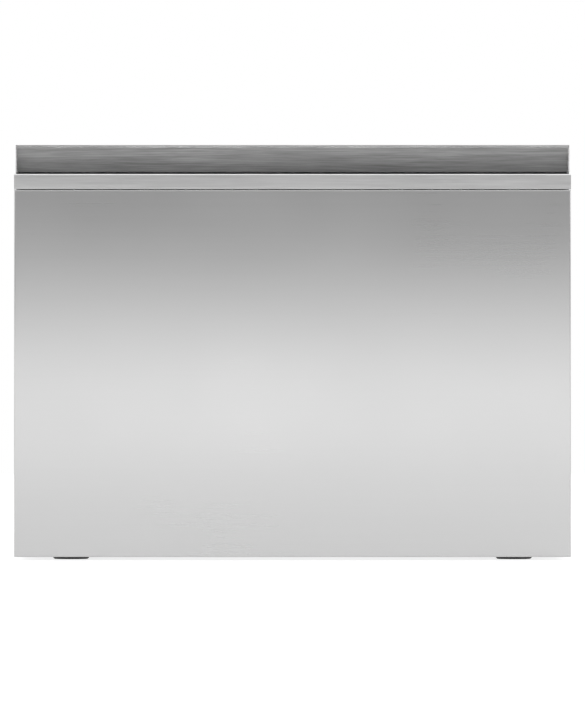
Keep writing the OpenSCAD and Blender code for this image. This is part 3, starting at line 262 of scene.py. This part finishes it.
FINISHES = {
    "case_steel": (galvanised, dict(rough=0.42)),
    "runner_steel": (brushed, dict(rough=0.28, grain=0.05, tone=0.03, along="y")),
    "yoke_steel": (brushed, dict(rough=0.36, grain=0.05, tone=0.03, along="y")),
    "heater_steel": (brushed, dict(rough=0.25, grain=0.03, tone=0.03, along="z")),
    "front_steel": (brushed, dict(rough=0.29, grain=0.022, tone=0.006, uneven=0.012)),
    # The recess steel is tinted to 0.77 of its colour: painted shade for the band that faces down
    # over the finger channel
    "recess_steel": (brushed, dict(rough=0.55, grain=0.25, tone=0.32, tint=0.77, metal=0.4,
                                   thin=620, long=24)),
    "rail_steel": (brushed, dict(rough=0.42, grain=0.15, tone=0.065, tint=0.92,
                                 thin=620, long=24)),
    "foot_rubber": (rubber, {}),
    "seal_rubber": (rubber, {}),
    "hose_rubber": (rubber, dict(rough=0.5)),
    "gear_plastic": (plastic, dict(rough=0.5, grain=0.08)),
    "motor_plastic": (plastic, dict(rough=0.42, grain=0.25)),
    "motor_metal": (plastic, dict(rough=0.35, grain=0.3, scale=700)),
    "valve_plastic": (plastic, dict(rough=0.4, grain=0.08)),
    "link_plastic": (plastic, dict(rough=0.45, grain=0.2)),
    "lid_plastic": (plastic, dict(rough=0.42, grain=0.15)),
    "inner_plastic": (plastic, dict(rough=0.45, grain=0.12)),
    "control_plastic": (plastic, dict(rough=0.38, grain=0.2)),
    "window_plastic": (plastic, dict(rough=0.08, grain=0.0, coat=1.0)),
    "tub_plastic": (plastic, dict(rough=0.33, grain=0.06)),
    "filter_plastic": (plastic, dict(rough=0.4, grain=0.12)),
    "dispenser_plastic": (plastic, dict(rough=0.4, grain=0.12)),
    "flap_plastic": (plastic, dict(rough=0.35, grain=0.1)),
    "basket_plastic": (plastic, dict(rough=0.45, grain=0.15)),
    "key_plastic": (plastic, dict(rough=0.25, grain=0.03, coat=0.5)),
    "wire_coat": (plastic, dict(rough=0.35, grain=0.15, scale=500)),
    "board_laminate": (laminate, {}),
}
materials = {}
for m in frame["record"]["materials"]:
    make, look = FINISHES[m["slot"]]
    materials[m["slot"]] = make(m["slot"], tuple(m["base_color"]), **look)

WELD = 1e-6


def smooth_group(name, limit):
    """Geometry nodes that weld a mesh and shade it smooth where edges turn under the limit."""
    group = bpy.data.node_groups.new(name, "GeometryNodeTree")
    for way in ("INPUT", "OUTPUT"):
        group.interface.new_socket("Geometry", in_out=way, socket_type="NodeSocketGeometry")
    n = group.nodes
    start, end = n.new("NodeGroupInput"), n.new("NodeGroupOutput")
    weld = n.new("GeometryNodeMergeByDistance")
    weld.inputs["Distance"].default_value = WELD
    faces, edges = n.new("GeometryNodeSetShadeSmooth"), n.new("GeometryNodeSetShadeSmooth")
    edges.domain = "EDGE"
    edges.inputs["Shade Smooth"].default_value = False
    angle = n.new("GeometryNodeInputMeshEdgeAngle")
    sharp = n.new("ShaderNodeMath")
    sharp.operation = "GREATER_THAN"
    sharp.inputs[1].default_value = math.radians(limit)
    link = group.links.new
    link(start.outputs[0], weld.inputs["Geometry"])
    link(weld.outputs[0], faces.inputs["Geometry"])
    link(faces.outputs[0], edges.inputs["Geometry"])
    link(angle.outputs["Unsigned Angle"], sharp.inputs[0])
    link(sharp.outputs[0], edges.inputs["Selection"])
    link(edges.outputs[0], end.inputs[0])
    return group


SMOOTH = smooth_group("weld_and_smooth", 32)
# Rack wires are eight-sided in the CAD model, so they are shaded round over wider angles
SMOOTH_WIRES = smooth_group("weld_and_round", 50)
for name, obj in nodes.items():
    mat = materials[SUBPARTS[name]]
    if not obj.material_slots:
        obj.data.materials.append(mat)
    for s in obj.material_slots:
        s.material = mat
    mod = obj.modifiers.new("smooth", "NODES")
    mod.node_group = SMOOTH_WIRES if SUBPARTS[name] == "wire_coat" else SMOOTH

# ------------------------------------------------------------------ makers of small pieces


def mm(*p):
    return Vector(p) * MM


def place(at, axis):
    """Matrix that stands local +Z along axis at a point."""
    turn = Vector((0, 0, 1)).rotation_difference(Vector(axis)).to_matrix().to_4x4()
    return Matrix.Translation(Vector(at)) @ turn


def loops(bm, rings, m=None, close=(True, True)):
    """Skin over rings of points with the same count each; first and last closed by a face."""
    m = m or Matrix.Identity(4)
    rows = [[bm.verts.new(m @ Vector(p)) for p in ring] for ring in rings]
    n = len(rows[0])
    for a, b in zip(rows, rows[1:]):
        for i in range(n):
            bm.faces.new((a[i], a[(i + 1) % n], b[(i + 1) % n], b[i]))
    if close[0]:
        bm.faces.new(list(reversed(rows[0])))
    if close[1]:
        bm.faces.new(rows[-1])


def ring(r, z, n, lobes=0, depth=0.0):
    """Circle of n points at height z, waved in by lobes."""
    return [((r + depth * math.cos(lobes * TAU * i / n)) * math.cos(TAU * i / n),
             (r + depth * math.cos(lobes * TAU * i / n)) * math.sin(TAU * i / n), z)
            for i in range(n)]


def rings_mm(n, *rows):
    """Circles from (radius, height[, lobes, depth of lobes]) in mm."""
    return [ring(row[0] * MM, row[1] * MM, n, row[2] if len(row) > 2 else 0,
                 row[3] * MM if len(row) > 2 else 0.0) for row in rows]


def lathe(bm, profile, m, n=24, close=(True, True)):
    """Turned form from (radius, height) pairs in metres."""
    loops(bm, [ring(r, z, n) for r, z in profile], m, close)


def section(big, small, a, k):
    """Round section of a bent bar, at the angle a round the bend."""
    return [((big + small * math.cos(TAU * j / k)) * math.cos(a),
             (big + small * math.cos(TAU * j / k)) * math.sin(a),
             small * math.sin(TAU * j / k)) for j in range(k)]


def torus(bm, big, small, m, n=32, k=8):
    """Closed ring of round section."""
    rings = [section(big, small, TAU * i / n, k) for i in range(n)]
    loops(bm, rings + rings[:1], m, (False, False))


def arc_tube(bm, big, small, a0, a1, m, n, k=8):
    """Round bar bent along part of a circle, in degrees."""
    loops(bm, [section(big, small, math.radians(a0 + (a1 - a0) * i / n), k)
               for i in range(n + 1)], m)


def block(bm, lo, hi, ease=0.0):
    """Box between two corners, with its upright edges eased."""
    e = ease
    (x0, y0, z0), (x1, y1, z1) = lo, hi
    flat = [(x0 + e, y0), (x1 - e, y0), (x1, y0 + e), (x1, y1 - e), (x1 - e, y1), (x0 + e, y1),
            (x0, y1 - e), (x0, y0 + e)] if e else [(x0, y0), (x1, y0), (x1, y1), (x0, y1)]
    loops(bm, [[(x, y, z) for x, y in flat] for z in (z0, z1)])


def ball(bm, at, r):
    bmesh.ops.create_uvsphere(bm, u_segments=14, v_segments=8, radius=r,
                              matrix=Matrix.Translation(at))


def ribbon(bm, pts, width, z0, z1):
    """Flat stroke of one width through points in XY."""
    rings = []
    for i, p in enumerate(pts):
        a, b = Vector(pts[max(i - 1, 0)]), Vector(pts[min(i + 1, len(pts) - 1)])
        t = (b - a).normalized()
        n = Vector((-t.y, t.x)) * width / 2
        p = Vector(p)
        rings.append([(*(p - n), z0), (*(p + n), z0), (*(p + n), z1), (*(p - n), z1)])
    loops(bm, rings)


def thread(bm, at, axis, r, depth, pitch, turns, n=36):
    """Ridge wound along a screw line, running out at both ends."""
    rings = []
    for i in range(int(turns * n) + 1):
        a = TAU * i / n
        fade = min(1.0, i / n * 2, (turns * n - i) / n * 2)
        z = pitch * i / n
        d = Vector((math.cos(a), math.sin(a), 0))
        rings.append([d * (r - depth) + Vector((0, 0, z - pitch * 0.42)),
                      d * (r - depth + (depth * 2) * max(fade, 0.05)) + Vector((0, 0, z)),
                      d * (r - depth) + Vector((0, 0, z + pitch * 0.42))])
    loops(bm, rings, place(at, axis))


def gusset(bm, foot, out, along):
    """Tapered web from a wall point, reaching out under the rim."""
    f, o, a = Vector(foot), Vector(out), Vector(along)
    down = Vector((0, 0, -30 * MM))
    rows = [[f - a, f + o - a, f + o * 0.9 + down * 0.2 - a, f + down - a],
            [f + a, f + o + a, f + o * 0.9 + down * 0.2 + a, f + down + a]]
    loops(bm, rows)


def screw(bm, at, axis, r=4.0, h=1.6):
    """Domed screw head with a six-lobed socket, r and h in mm."""
    r, h = r * MM, h * MM
    n = 36
    drive = r * 0.42
    loops(bm, [ring(r * 0.96, -0.2 * MM, n), ring(r, h * 0.15, n), ring(r * 0.93, h * 0.55, n),
               ring(r * 0.74, h * 0.9, n), ring(r * 0.58, h, n),
               ring(drive, h * 0.98, n, 6, drive * 0.13),
               ring(drive * 0.95, h * 0.35, n, 6, drive * 0.13)],
          place(at, axis))


def rivet(bm, at, axis, r=4.0, h=1.0, hole=True):
    """Low domed rivet head in mm, with the mark of its drawn mandrel or a small nub."""
    r, h = r * MM, h * MM
    prof = [(r * 0.98, -0.2 * MM), (r, h * 0.2), (r * 0.85, h * 0.7), (r * 0.6, h)]
    prof += [(r * 0.3, h), (r * 0.26, h * 0.4)] if hole else [(r * 0.3, h * 1.05)]
    lathe(bm, prof, place(at, axis), 20)


def hose_ribs(bm, r, small, points):
    """Ribs round a hose, from points in mm and the hose's direction there."""
    for at, axis in points:
        torus(bm, r * MM, small * MM, place(mm(*at), axis), 24, 6)


def piece(name, bm, body, slot, mat=None):
    """Object from a bmesh, with a finish and a body to ride on."""
    bmesh.ops.recalc_face_normals(bm, faces=bm.faces)
    mesh = bpy.data.meshes.new(name)
    bm.to_mesh(mesh)
    bm.free()
    obj = bpy.data.objects.new(name, mesh)
    bpy.context.scene.collection.objects.link(obj)
    mesh.materials.append(mat or materials[slot])
    obj.modifiers.new("smooth", "NODES").node_group = SMOOTH
    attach(obj, body)
    return obj


def screws(name, body, spots, axis, r, h):
    """A piece of like screws that face one way."""
    bm = bmesh.new()
    for at in spots:
        screw(bm, at, axis, r, h)
    piece(name, bm, body, "runner_steel")


# ------------------------------------------------------------------ case and runners

CASE_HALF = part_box("side_panel_right")[1][0]
CASE_IN = CASE_HALF - 1.2 * MM
CASE_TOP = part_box("side_panel_right")[1][2]
RUNNER_Z = (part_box("mid_runner_right")[0][2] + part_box("mid_runner_right")[1][2]) / 2
BASE_ROW_Z, TOP_ROW_DROP, REAR_ROW_Y = 14.5, 12, 279
# Pairs of rivets on the middle members, and one row along the tub's brackets
SLIDE_MIDS, SLIDE_HALF = (-150, 0, 150), 32
BRACKET_X, BRACKET_ROW = 274, (-210, -140, -70, 0, 70, 140, 190)
# Ball cages between a runner's members: name, X, offset up and down from the runner's middle,
# half width, front end and count of balls, in mm
CAGES = (("outer", 288.3, 20, 4.0, -10, 11), ("inner", 281.8, 10, 3.6, -226, 9))
BALL_PITCH, BALL_R = 18, 3.7
CAGE_HALF_T, CAGE_EASE = 0.5, 1.5

for side, s in (("left", -1), ("right", 1)):
    wall = s * CASE_HALF
    spots = [(wall, y * MM, BASE_ROW_Z * MM) for y in (-240, -90, 90, 255)]
    spots += [(wall, y * MM, CASE_TOP - TOP_ROW_DROP * MM) for y in (-215, -60, 80, 255)]
    spots += [(wall, REAR_ROW_Y * MM, z * MM) for z in (100, 220, 340)]
    screws("case_screws_" + side, "chassis", spots, (s, 0, 0), 4, 1.8)
    bm = bmesh.new()
    for y in (-200, -60, 60, 180):
        rivet(bm, (wall, y * MM, RUNNER_Z), (s, 0, 0), 5.5, 1.1)
        rivet(bm, (s * (CASE_IN - 2 * MM), y * MM, RUNNER_Z), (-s, 0, 0), 5, 0.7)
    piece("runner_rivets_" + side, bm, "chassis", "runner_steel")
    bm = bmesh.new()
    for y in SLIDE_MIDS:
        for dy in (-SLIDE_HALF, SLIDE_HALF):
            rivet(bm, (s * (CASE_IN - 5 * MM), (y + dy) * MM, RUNNER_Z), (-s, 0, 0), 3.2, 0.7,
                  False)
    piece("slide_rivets_" + side, bm, "mid_slide_" + side, "runner_steel")
    bm = bmesh.new()
    for y in BRACKET_ROW:
        rivet(bm, (s * BRACKET_X * MM, y * MM, RUNNER_Z), (s, 0, 0), 3.4, 1.1, False)
    piece("bracket_rivets_" + side, bm, "drawer", "runner_steel")
    for name, x, dz, half_x, y0, count in CAGES:
        bm = bmesh.new()
        for up in (-1, 1):
            z = RUNNER_Z + up * dz * MM
            y1 = y0 + BALL_PITCH * count
            block(bm, (s * x * MM - half_x * MM, y0 * MM, z - CAGE_HALF_T * MM),
                  (s * x * MM + half_x * MM, y1 * MM, z + CAGE_HALF_T * MM), CAGE_EASE * MM)
            for i in range(count):
                y = y0 + BALL_PITCH / 2 + BALL_PITCH * i
                ball(bm, (s * x * MM, y * MM, z), BALL_R * MM)
        piece("ball_cage_%s_%s" % (name, side), bm, "mid_slide_" + side, "runner_steel")

SHEET_TOP = 444
screws("top_screws", "chassis",
       [mm(x, y, SHEET_TOP) for x in (-284, -170, 0, 170, 284)
        for y in ((-228, 276) if abs(x) < 200 else (-226, -70, 80, 262))], (0, 0, 1), 4, 1.6)

# ------------------------------------------------------------------ rear bay and feet

# Height of the fittings and the bay's back wall; X of the inlet, the drain and the terminal box
FIT_Z, FIT_Y = 70, 266
INLET_X, DRAIN_X, MAINS_X = -200, -140, -95
BACK = (0, 1, 0)

bm = bmesh.new()
thread(bm, mm(INLET_X, FIT_Y + 3, FIT_Z), BACK, 13.2 * MM, 0.35 * MM, 1.9 * MM, 6)
piece("inlet_thread", bm, "chassis", "valve_plastic")

# The inlet's collar, and the screws of the inlet, the drain and the terminal box
bm = bmesh.new()
torus(bm, 15.4 * MM, 1.1 * MM, place(mm(INLET_X, FIT_Y, FIT_Z), BACK))
for dx in (-20, 20):
    screw(bm, mm(INLET_X + dx, FIT_Y, FIT_Z - 4), BACK, 3.6, 2.0)
for dx, dz in ((-13, -13), (13, 13)):
    screw(bm, mm(DRAIN_X + dx, FIT_Y + 2.9, FIT_Z + dz * 0.72), BACK, 2.4, 1.6)
for dx in (-11.5, 14):
    screw(bm, mm(MAINS_X + dx, FIT_Y, FIT_Z - 13), BACK, 3.2, 1.8)
piece("bay_screws", bm, "chassis", "runner_steel")

bm = bmesh.new()
for y in (270.5, 275.5, 280):
    lathe(bm, [(9.8 * MM, 0), (11 * MM, 0.6 * MM), (10.2 * MM, 2.6 * MM), (9.8 * MM, 2.7 * MM)],
          place(mm(DRAIN_X, y, FIT_Z), BACK), 32)
piece("drain_barbs", bm, "chassis", "control_plastic")

# Gland nut with a twelve-sided grip and a bore for the cord
bm = bmesh.new()
loops(bm, rings_mm(48, (8.1, 0), (10.4, 0.6, 12, 0.5), (10.4, 8, 12, 0.5), (9.2, 10.5),
                   (6.5, 12.2), (4.4, 12.4), (4.4, 2)), place(mm(MAINS_X, FIT_Y + 1, FIT_Z), BACK))
piece("cable_gland", bm, "chassis", "control_plastic")

# The hexagon bolt in each foot's recess, seen from below
FOOT_X, FOOT_FRONT, FOOT_REAR = 240, 91, 60
bm = bmesh.new()
for x in (-FOOT_X, FOOT_X):
    for y in (FRONT_Y / MM + FOOT_FRONT, -FRONT_Y / MM - FOOT_REAR):
        lathe(bm, [(6.2 * MM, 0), (6.2 * MM, 1.1 * MM), (5.6 * MM, 1.5 * MM)],
              place(mm(x, y, 2.0), (0, 0, -1)), 6)
piece("foot_bolts", bm, "chassis", "runner_steel")

# ------------------------------------------------------------------ front

RECESS_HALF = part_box("recess_panel")[1][0]
DEEP_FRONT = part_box("door_panel")[1][1] + 2.3 * MM
WALL_Y = FRONT_Y + 35.5 * MM
# Half width and black of the sheet of painted shade in the finger channel
SHADE_SHEET_HALF = RECESS_HALF - 2 * MM
PAINTED_SHADE_COLOR = (0.012, 0.012, 0.013)

# Sheet of painted shade in matt black flock on the finger channel's back wall and floor, which
# paints a dark shadow line over the rail
bm = bmesh.new()
block(bm, (-SHADE_SHEET_HALF, WALL_Y - 0.4 * MM, 405.5 * MM),
      (SHADE_SHEET_HALF, WALL_Y - 0.05 * MM, 417.2 * MM))
block(bm, (-SHADE_SHEET_HALF, FRONT_Y + 15 * MM, 400.25 * MM),
      (SHADE_SHEET_HALF, FRONT_Y + 30 * MM, 400.5 * MM))
piece("channel_lining", bm, "drawer", "seal_rubber", flock("flock", PAINTED_SHADE_COLOR))

# Bumpers and screws on the back of the moulding, that meet the case
bm = bmesh.new()
for x in (-286, 286):
    for z in (40, 385):
        lathe(bm, [(6 * MM, -0.3 * MM), (6 * MM, 1.0 * MM), (4.8 * MM, 1.7 * MM)],
              place((x * MM, DEEP_FRONT, z * MM), BACK), 24)
piece("door_bumpers", bm, "drawer", "seal_rubber")
screws("door_screws", "drawer", [(x * MM, DEEP_FRONT, z * MM) for x in (-280, 280)
                                 for z in (75, 140, 230, 300, 350)], BACK, 3.8, 1.4)

# ------------------------------------------------------------------ tub and what it holds

TUB_CY = -10
TUB_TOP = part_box("tub")[1][2]
WALL_X, REAR_WALL_Y = 254.8, 211.8
UNDER_RIM = TUB_TOP - 6.1 * MM

# Gussets under the rim, pressed close to the walls
bm = bmesh.new()
for s in (-1, 1):
    for i in range(12):
        gusset(bm, (s * WALL_X * MM, (-180 + 30 * i) * MM, UNDER_RIM),
               (s * 6 * MM, 0, 0), (0, 1 * MM, 0))
for i in range(15):
    gusset(bm, ((-203 + 29 * i) * MM, REAR_WALL_Y * MM, UNDER_RIM),
           (0, 5.2 * MM, 0), (1 * MM, 0, 0))
piece("tub_gussets", bm, "drawer", "tub_plastic")

# Spray arm: a raised ring round each jet, and a lobed cap that holds the arm on its riser
ARM_Z = 95.5
bm = bmesh.new()
for turn in (1, -1):
    for r in range(48, 179, 26):
        # The arm's top falls towards its tips, faster beyond a radius of 112 mm
        top = 12 - (r - 22) / 90 if r < 112 else 11 - (r - 112) / 38
        torus(bm, 2.9 * MM, 0.8 * MM,
              place(mm(turn * r, TUB_CY + turn * 4, ARM_Z + top), (0, 0, 1)), 20, 6)
piece("jet_rings", bm, "spray_arm", "filter_plastic")
bm = bmesh.new()
loops(bm, rings_mm(48, (17, -0.2), (17, 1.2), (13, 1.8, 6, 1.2), (12.4, 6, 6, 1.2),
                   (10.5, 7.4, 6, 0.8), (5, 7.9)), place(mm(0, TUB_CY, ARM_Z + 20), (0, 0, 1)))
piece("arm_cap", bm, "spray_arm", "filter_plastic")

# Filters: stiffening rings on the plate, two of them open at the cup, and mesh inside the cup
bm = bmesh.new()
level = place(mm(0, TUB_CY, 90.4), (0, 0, 1))
for r in (60, 84):
    arc_tube(bm, r * MM, 0.9 * MM, 72, 378, level, 72)
torus(bm, 107 * MM, 1.0 * MM, level, 96)
piece("filter_ribs", bm, "drawer", "filter_plastic")
CUP_OFF = 52
bm = bmesh.new()
loops(bm, rings_mm(60, *[(19.7, z) for z in (82.2, 83.5, 84.8, 86.1, 87.4, 88.7, 90)]),
      Matrix.Translation(mm(CUP_OFF, TUB_CY + CUP_OFF, 0)), (False, False))
mesh_cup = piece("filter_mesh", bm, "drawer", "runner_steel")
wire = mesh_cup.modifiers.new("wire", "WIREFRAME")
wire.thickness = 0.5 * MM

screws("dispenser_screws", "drawer", [mm(x, -226.5, z) for x in (-68, 68) for z in (306, 382)],
       BACK, 2.6, 1.2)

# ------------------------------------------------------------------ under the tub

MOTOR_SCREW_R, MOTOR_FLANGE_Z = 86, 60
turns = [math.radians(a) for a in (12, 84, 156, 228, 300)]
screws("motor_screws", "drawer",
       [mm(MOTOR_SCREW_R * math.cos(a), TUB_CY + MOTOR_SCREW_R * math.sin(a), MOTOR_FLANGE_Z)
        for a in turns], (0, 0, -1), 4, 2.2)

# Drain hose: ribs along its two straights and the bend between them, and a clamp at each end
HOSE_X, HOSE_Y, HOSE_Z, HOSE_BEND = 60, 169, 52, 20
RIB_PITCH, BEND_STEPS = 4, 8
line = [((HOSE_X, 94 + RIB_PITCH * i, HOSE_Z), (0, 1, 0)) for i in range(14)]
for i in range(1, BEND_STEPS):
    a = math.radians(180 - 90 * i / BEND_STEPS)
    line.append(((HOSE_X + HOSE_BEND + HOSE_BEND * math.cos(a),
                  HOSE_Y - HOSE_BEND + HOSE_BEND * math.sin(a), HOSE_Z),
                 (math.sin(a), -math.cos(a), 0)))
line += [((HOSE_X + HOSE_BEND + RIB_PITCH * i, HOSE_Y, HOSE_Z), (1, 0, 0)) for i in range(5)]
bm = bmesh.new()
hose_ribs(bm, 9.0, 0.8, line)
piece("tub_hose_ribs", bm, "drawer", "hose_rubber")

# Spring clamps: a band 8 mm wide and an ear on each half of it
BAND_HALF, EAR_W = 4, 1.4
bm = bmesh.new()
for at, axis in (((HOSE_X, 86, HOSE_Z), (0, 1, 0)), ((106, HOSE_Y, HOSE_Z), (1, 0, 0))):
    clamp = place(mm(*at), axis)
    lathe(bm, [(9.1 * MM, -BAND_HALF * MM), (9.9 * MM, -BAND_HALF * MM),
               (9.9 * MM, BAND_HALF * MM), (9.1 * MM, BAND_HALF * MM)], clamp, 32, (False, False))
    for x0, z0 in ((-3, -BAND_HALF), (1.6, 0)):
        x1, z1 = x0 + EAR_W, z0 + BAND_HALF
        loops(bm, [[(x * MM, y * MM, z * MM) for x, z in ((x0, z0), (x1, z0), (x1, z1), (x0, z1))]
                   for y in (9, 13.5)], clamp)
piece("hose_clamps", bm, "drawer", "runner_steel")

# Hoses inside the case, from the rear bay to the hose link
REAR_PITCH = 4.5
bm = bmesh.new()
hose_ribs(bm, 8.0, 0.8, [((-116 + REAR_PITCH * i, 232.8, 70), (1, 0, 0)) for i in range(48)])
hose_ribs(bm, 6.0, 0.6, [((-172 + REAR_PITCH * i, 238.8, 92), (1, 0, 0)) for i in range(64)])
piece("rear_hose_ribs", bm, "chassis", "hose_rubber")

# Hose link: washer and screw on the elbow's pin
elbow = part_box("hose_link_rear")
EX, EY = elbow[0][0] + 17 * MM, elbow[0][1] + 17 * MM
bm = bmesh.new()
lathe(bm, [(3 * MM, 0), (9.5 * MM, 0), (9.5 * MM, 0.7 * MM), (3 * MM, 0.7 * MM)],
      place((EX, EY, 34.1 * MM), (0, 0, 1)), 32)
screw(bm, (EX, EY, 34.7 * MM), (0, 0, 1), 4.5, 1.6)
piece("elbow_cap", bm, "link_rear", "runner_steel")

# ------------------------------------------------------------------ printed signs on the keys

KEY_Z = TOP_Z - 0.25 * MM
KEY_Y = FRONT_Y + 31.5 * MM
PRINT = (KEY_Z, KEY_Z + 0.14 * MM)
STROKE = 0.62 * MM

# Power: a broken ring and a bar
POWER_X, POWER_R = -120 * MM, 2.1 * MM
bm = bmesh.new()
ribbon(bm, [(POWER_X + POWER_R * math.cos(math.radians(a)),
             KEY_Y + POWER_R * math.sin(math.radians(a))) for a in range(128, 413, 12)],
       STROKE, *PRINT)
ribbon(bm, [(POWER_X, KEY_Y + 0.5 * MM), (POWER_X, KEY_Y + 2.9 * MM)], STROKE, *PRINT)
piece("sign_power", bm, "key_power", "control_plastic")

# Program: three lines of a list, each behind a dot
bm = bmesh.new()
for dy in (-1.7, 0, 1.7):
    for x0, x1 in ((-90, -85.4), (-91.6, -90.9)):
        ribbon(bm, [(x0 * MM, KEY_Y + dy * MM), (x1 * MM, KEY_Y + dy * MM)], STROKE, *PRINT)
piece("sign_program", bm, "key_program", "control_plastic")

# Start or pause: a triangle and two bars
SIGN_HALF = 1.9 * MM
bm = bmesh.new()
tri = [(117 * MM, KEY_Y - SIGN_HALF), (120.2 * MM, KEY_Y), (117 * MM, KEY_Y + SIGN_HALF)]
loops(bm, [[(*p, z) for p in tri] for z in PRINT])
for x in (121.2, 122.7):
    ribbon(bm, [(x * MM, KEY_Y - SIGN_HALF), (x * MM, KEY_Y + SIGN_HALF)], STROKE, *PRINT)
piece("sign_start", bm, "key_start", "control_plastic")

# ------------------------------------------------------------------ stage and light

scene = bpy.context.scene
# Light that surfaces gather from all round, and the white that the camera and reflections see
SOFT_LEVEL = 0.6
WHITE_LEVEL = 1.0
FLOOR = 6.0
FLOOR_COLOR = (0.6, 0.6, 0.6, 1)
# Glow of the floor for the camera, near the object and far away, over this run of distance
FLOOR_NEAR = 0.75
FLOOR_WHITE = 0.95
FLOOR_FADE = (0.5, 1.6)
# Least glow of the floor for the camera, reflections and what is seen through glass
FLOOR_GLOW = 0.37
# Card in front, which only reflections see: its level at each height gives the steel its run of
# tone, and it is as high as the last of them
CARD_D = 1.2
CARD = ((0, 0.67), (0.06, 1.055), (0.12, 1.492), (0.18, 1.321), (0.24, 1.022), (0.30, 0.826),
        (0.36, 0.749), (0.45, 0.232), (2.4, 1.6))
CARD_H, CARD_HALF, CARD_LIFT = CARD[-1][0], 2.4, 0.001
# Lamps: name, place, target, width, height, watts, whether surfaces mirror it, spread in degrees
LAMPS = (
    ("over_front", (0, FRONT_Y - 0.15, 1.6), (0, FRONT_Y - 0.1, 0.2), 2.0, 0.5, 1.5, True, 180),
    ("top", (0, FRONT_Y - 0.5, 2.2), (0, FRONT_Y + 0.2, 0.2), 2.0, 0.8, 3, True, 180),
    ("key", (-1.6, -2.2, 2.4), (0, 0, 0.2), 1.6, 1.6, 8, False, 180),
    ("fill", (2.2, -1.4, 1.6), (0, 0, 0.2), 1.8, 1.8, 8, True, 180),
    ("rear", (0.6, 2.4, 2.0), (0, 0, 0.2), 1.6, 1.6, 12, False, 180),
    ("front", (0, FRONT_Y - 2.6, 0.4), (0, FRONT_Y, 0.4), 1.6, 0.9, 4.1, False, 30),
)


def seen_rays(tree):
    """1 on camera, glossy and transmission rays, else 0."""
    path = tree.nodes.new("ShaderNodeLightPath")
    value = path.outputs["Is Camera Ray"]
    for name in ("Is Glossy Ray", "Is Transmission Ray"):
        n = tree.nodes.new("ShaderNodeMath")
        n.operation = "MAXIMUM"
        tree.links.new(value, n.inputs[0])
        tree.links.new(path.outputs[name], n.inputs[1])
        value = n.outputs["Value"]
    return value


def sheet(name, corners):
    """A flat stage sheet through four corners."""
    mesh = bpy.data.meshes.new(name)
    mesh.from_pydata(corners, [], [(0, 1, 2, 3)])
    obj = bpy.data.objects.new(name, mesh)
    scene.collection.objects.link(obj)
    return obj


def lamp(name, loc, target, width, height, power, shine, spread):
    """An area lamp, that no camera sees."""
    data = bpy.data.lights.new(name, "AREA")
    data.shape = "RECTANGLE"
    data.size = width
    data.size_y = height
    data.energy = power
    data.spread = math.radians(spread)
    obj = bpy.data.objects.new(name, data)
    obj.location = loc
    obj.rotation_euler = (Vector(target) - Vector(loc)).to_track_quat("-Z", "Y").to_euler()
    obj.visible_camera = False
    obj.visible_glossy = shine
    scene.collection.objects.link(obj)


world = bpy.data.worlds.new("studio")
scene.world = world
world.use_nodes = True
wt = world.node_tree
wt.nodes.clear()
out = wt.nodes.new("ShaderNodeOutputWorld")
choose = wt.nodes.new("ShaderNodeMixShader")
wt.links.new(seen_rays(wt), choose.inputs["Fac"])
for i, level in ((1, SOFT_LEVEL), (2, WHITE_LEVEL)):
    back = wt.nodes.new("ShaderNodeBackground")
    back.inputs["Color"].default_value = (1, 1, 1, 1)
    back.inputs["Strength"].default_value = level
    wt.links.new(back.outputs[0], choose.inputs[i])
wt.links.new(choose.outputs[0], out.inputs["Surface"])

# The floor takes the object's shadow and glows for the camera and reflections
floor = sheet("floor", [(-FLOOR, -FLOOR, 0), (FLOOR, -FLOOR, 0), (FLOOR, FLOOR, 0),
                        (-FLOOR, FLOOR, 0)])
fl = Graph("floor_white")
diffuse = fl.node("ShaderNodeBsdfDiffuse")
diffuse.inputs["Color"].default_value = FLOOR_COLOR
path = fl.node("ShaderNodeLightPath")
away = fl.node("ShaderNodeVectorMath", operation="LENGTH")
fl.link(fl.point(), away.inputs[0])
level = fl.span(away.outputs["Value"], FLOOR_NEAR, FLOOR_WHITE, *FLOOR_FADE)
bright = fl.math("MULTIPLY", path.outputs["Is Camera Ray"], level)
least = fl.math("MULTIPLY", seen_rays(fl.tree), FLOOR_GLOW)
glow = fl.node("ShaderNodeEmission")
fl.link(fl.math("MAXIMUM", bright, least), glow.inputs["Strength"])
both = fl.node("ShaderNodeAddShader")
fl.link(diffuse.outputs[0], both.inputs[0])
fl.link(glow.outputs[0], both.inputs[1])
floor.data.materials.append(fl.only(both.outputs[0]))

card_y = FRONT_Y - CARD_D
card = sheet("card", [(x, card_y, z) for x, z in
                      ((-CARD_HALF, CARD_LIFT), (CARD_HALF, CARD_LIFT),
                       (CARD_HALF, CARD_H), (-CARD_HALF, CARD_H))])
for ray in ("camera", "diffuse", "transmission", "volume_scatter", "shadow"):
    setattr(card, "visible_" + ray, False)
cg = Graph("card_run")
split = cg.node("ShaderNodeSeparateXYZ")
cg.link(cg.point(), split.inputs["Vector"])
run = cg.node("ShaderNodeValToRGB")
cg.link(cg.math("DIVIDE", split.outputs["Z"], CARD_H), run.inputs["Fac"])
top_level = max(level for z, level in CARD)
stops = run.color_ramp.elements
for i, (z, level) in enumerate(CARD):
    # A new ramp has two stops already
    stop = stops[i] if i < 2 else stops.new(z / CARD_H)
    stop.position = z / CARD_H
    stop.color = (*[level / top_level] * 3, 1)
shine = cg.node("ShaderNodeEmission")
shine.inputs["Strength"].default_value = top_level
cg.link(run.outputs["Color"], shine.inputs["Color"])
card.data.materials.append(cg.only(shine.outputs[0]))

for row in LAMPS:
    lamp(*row)
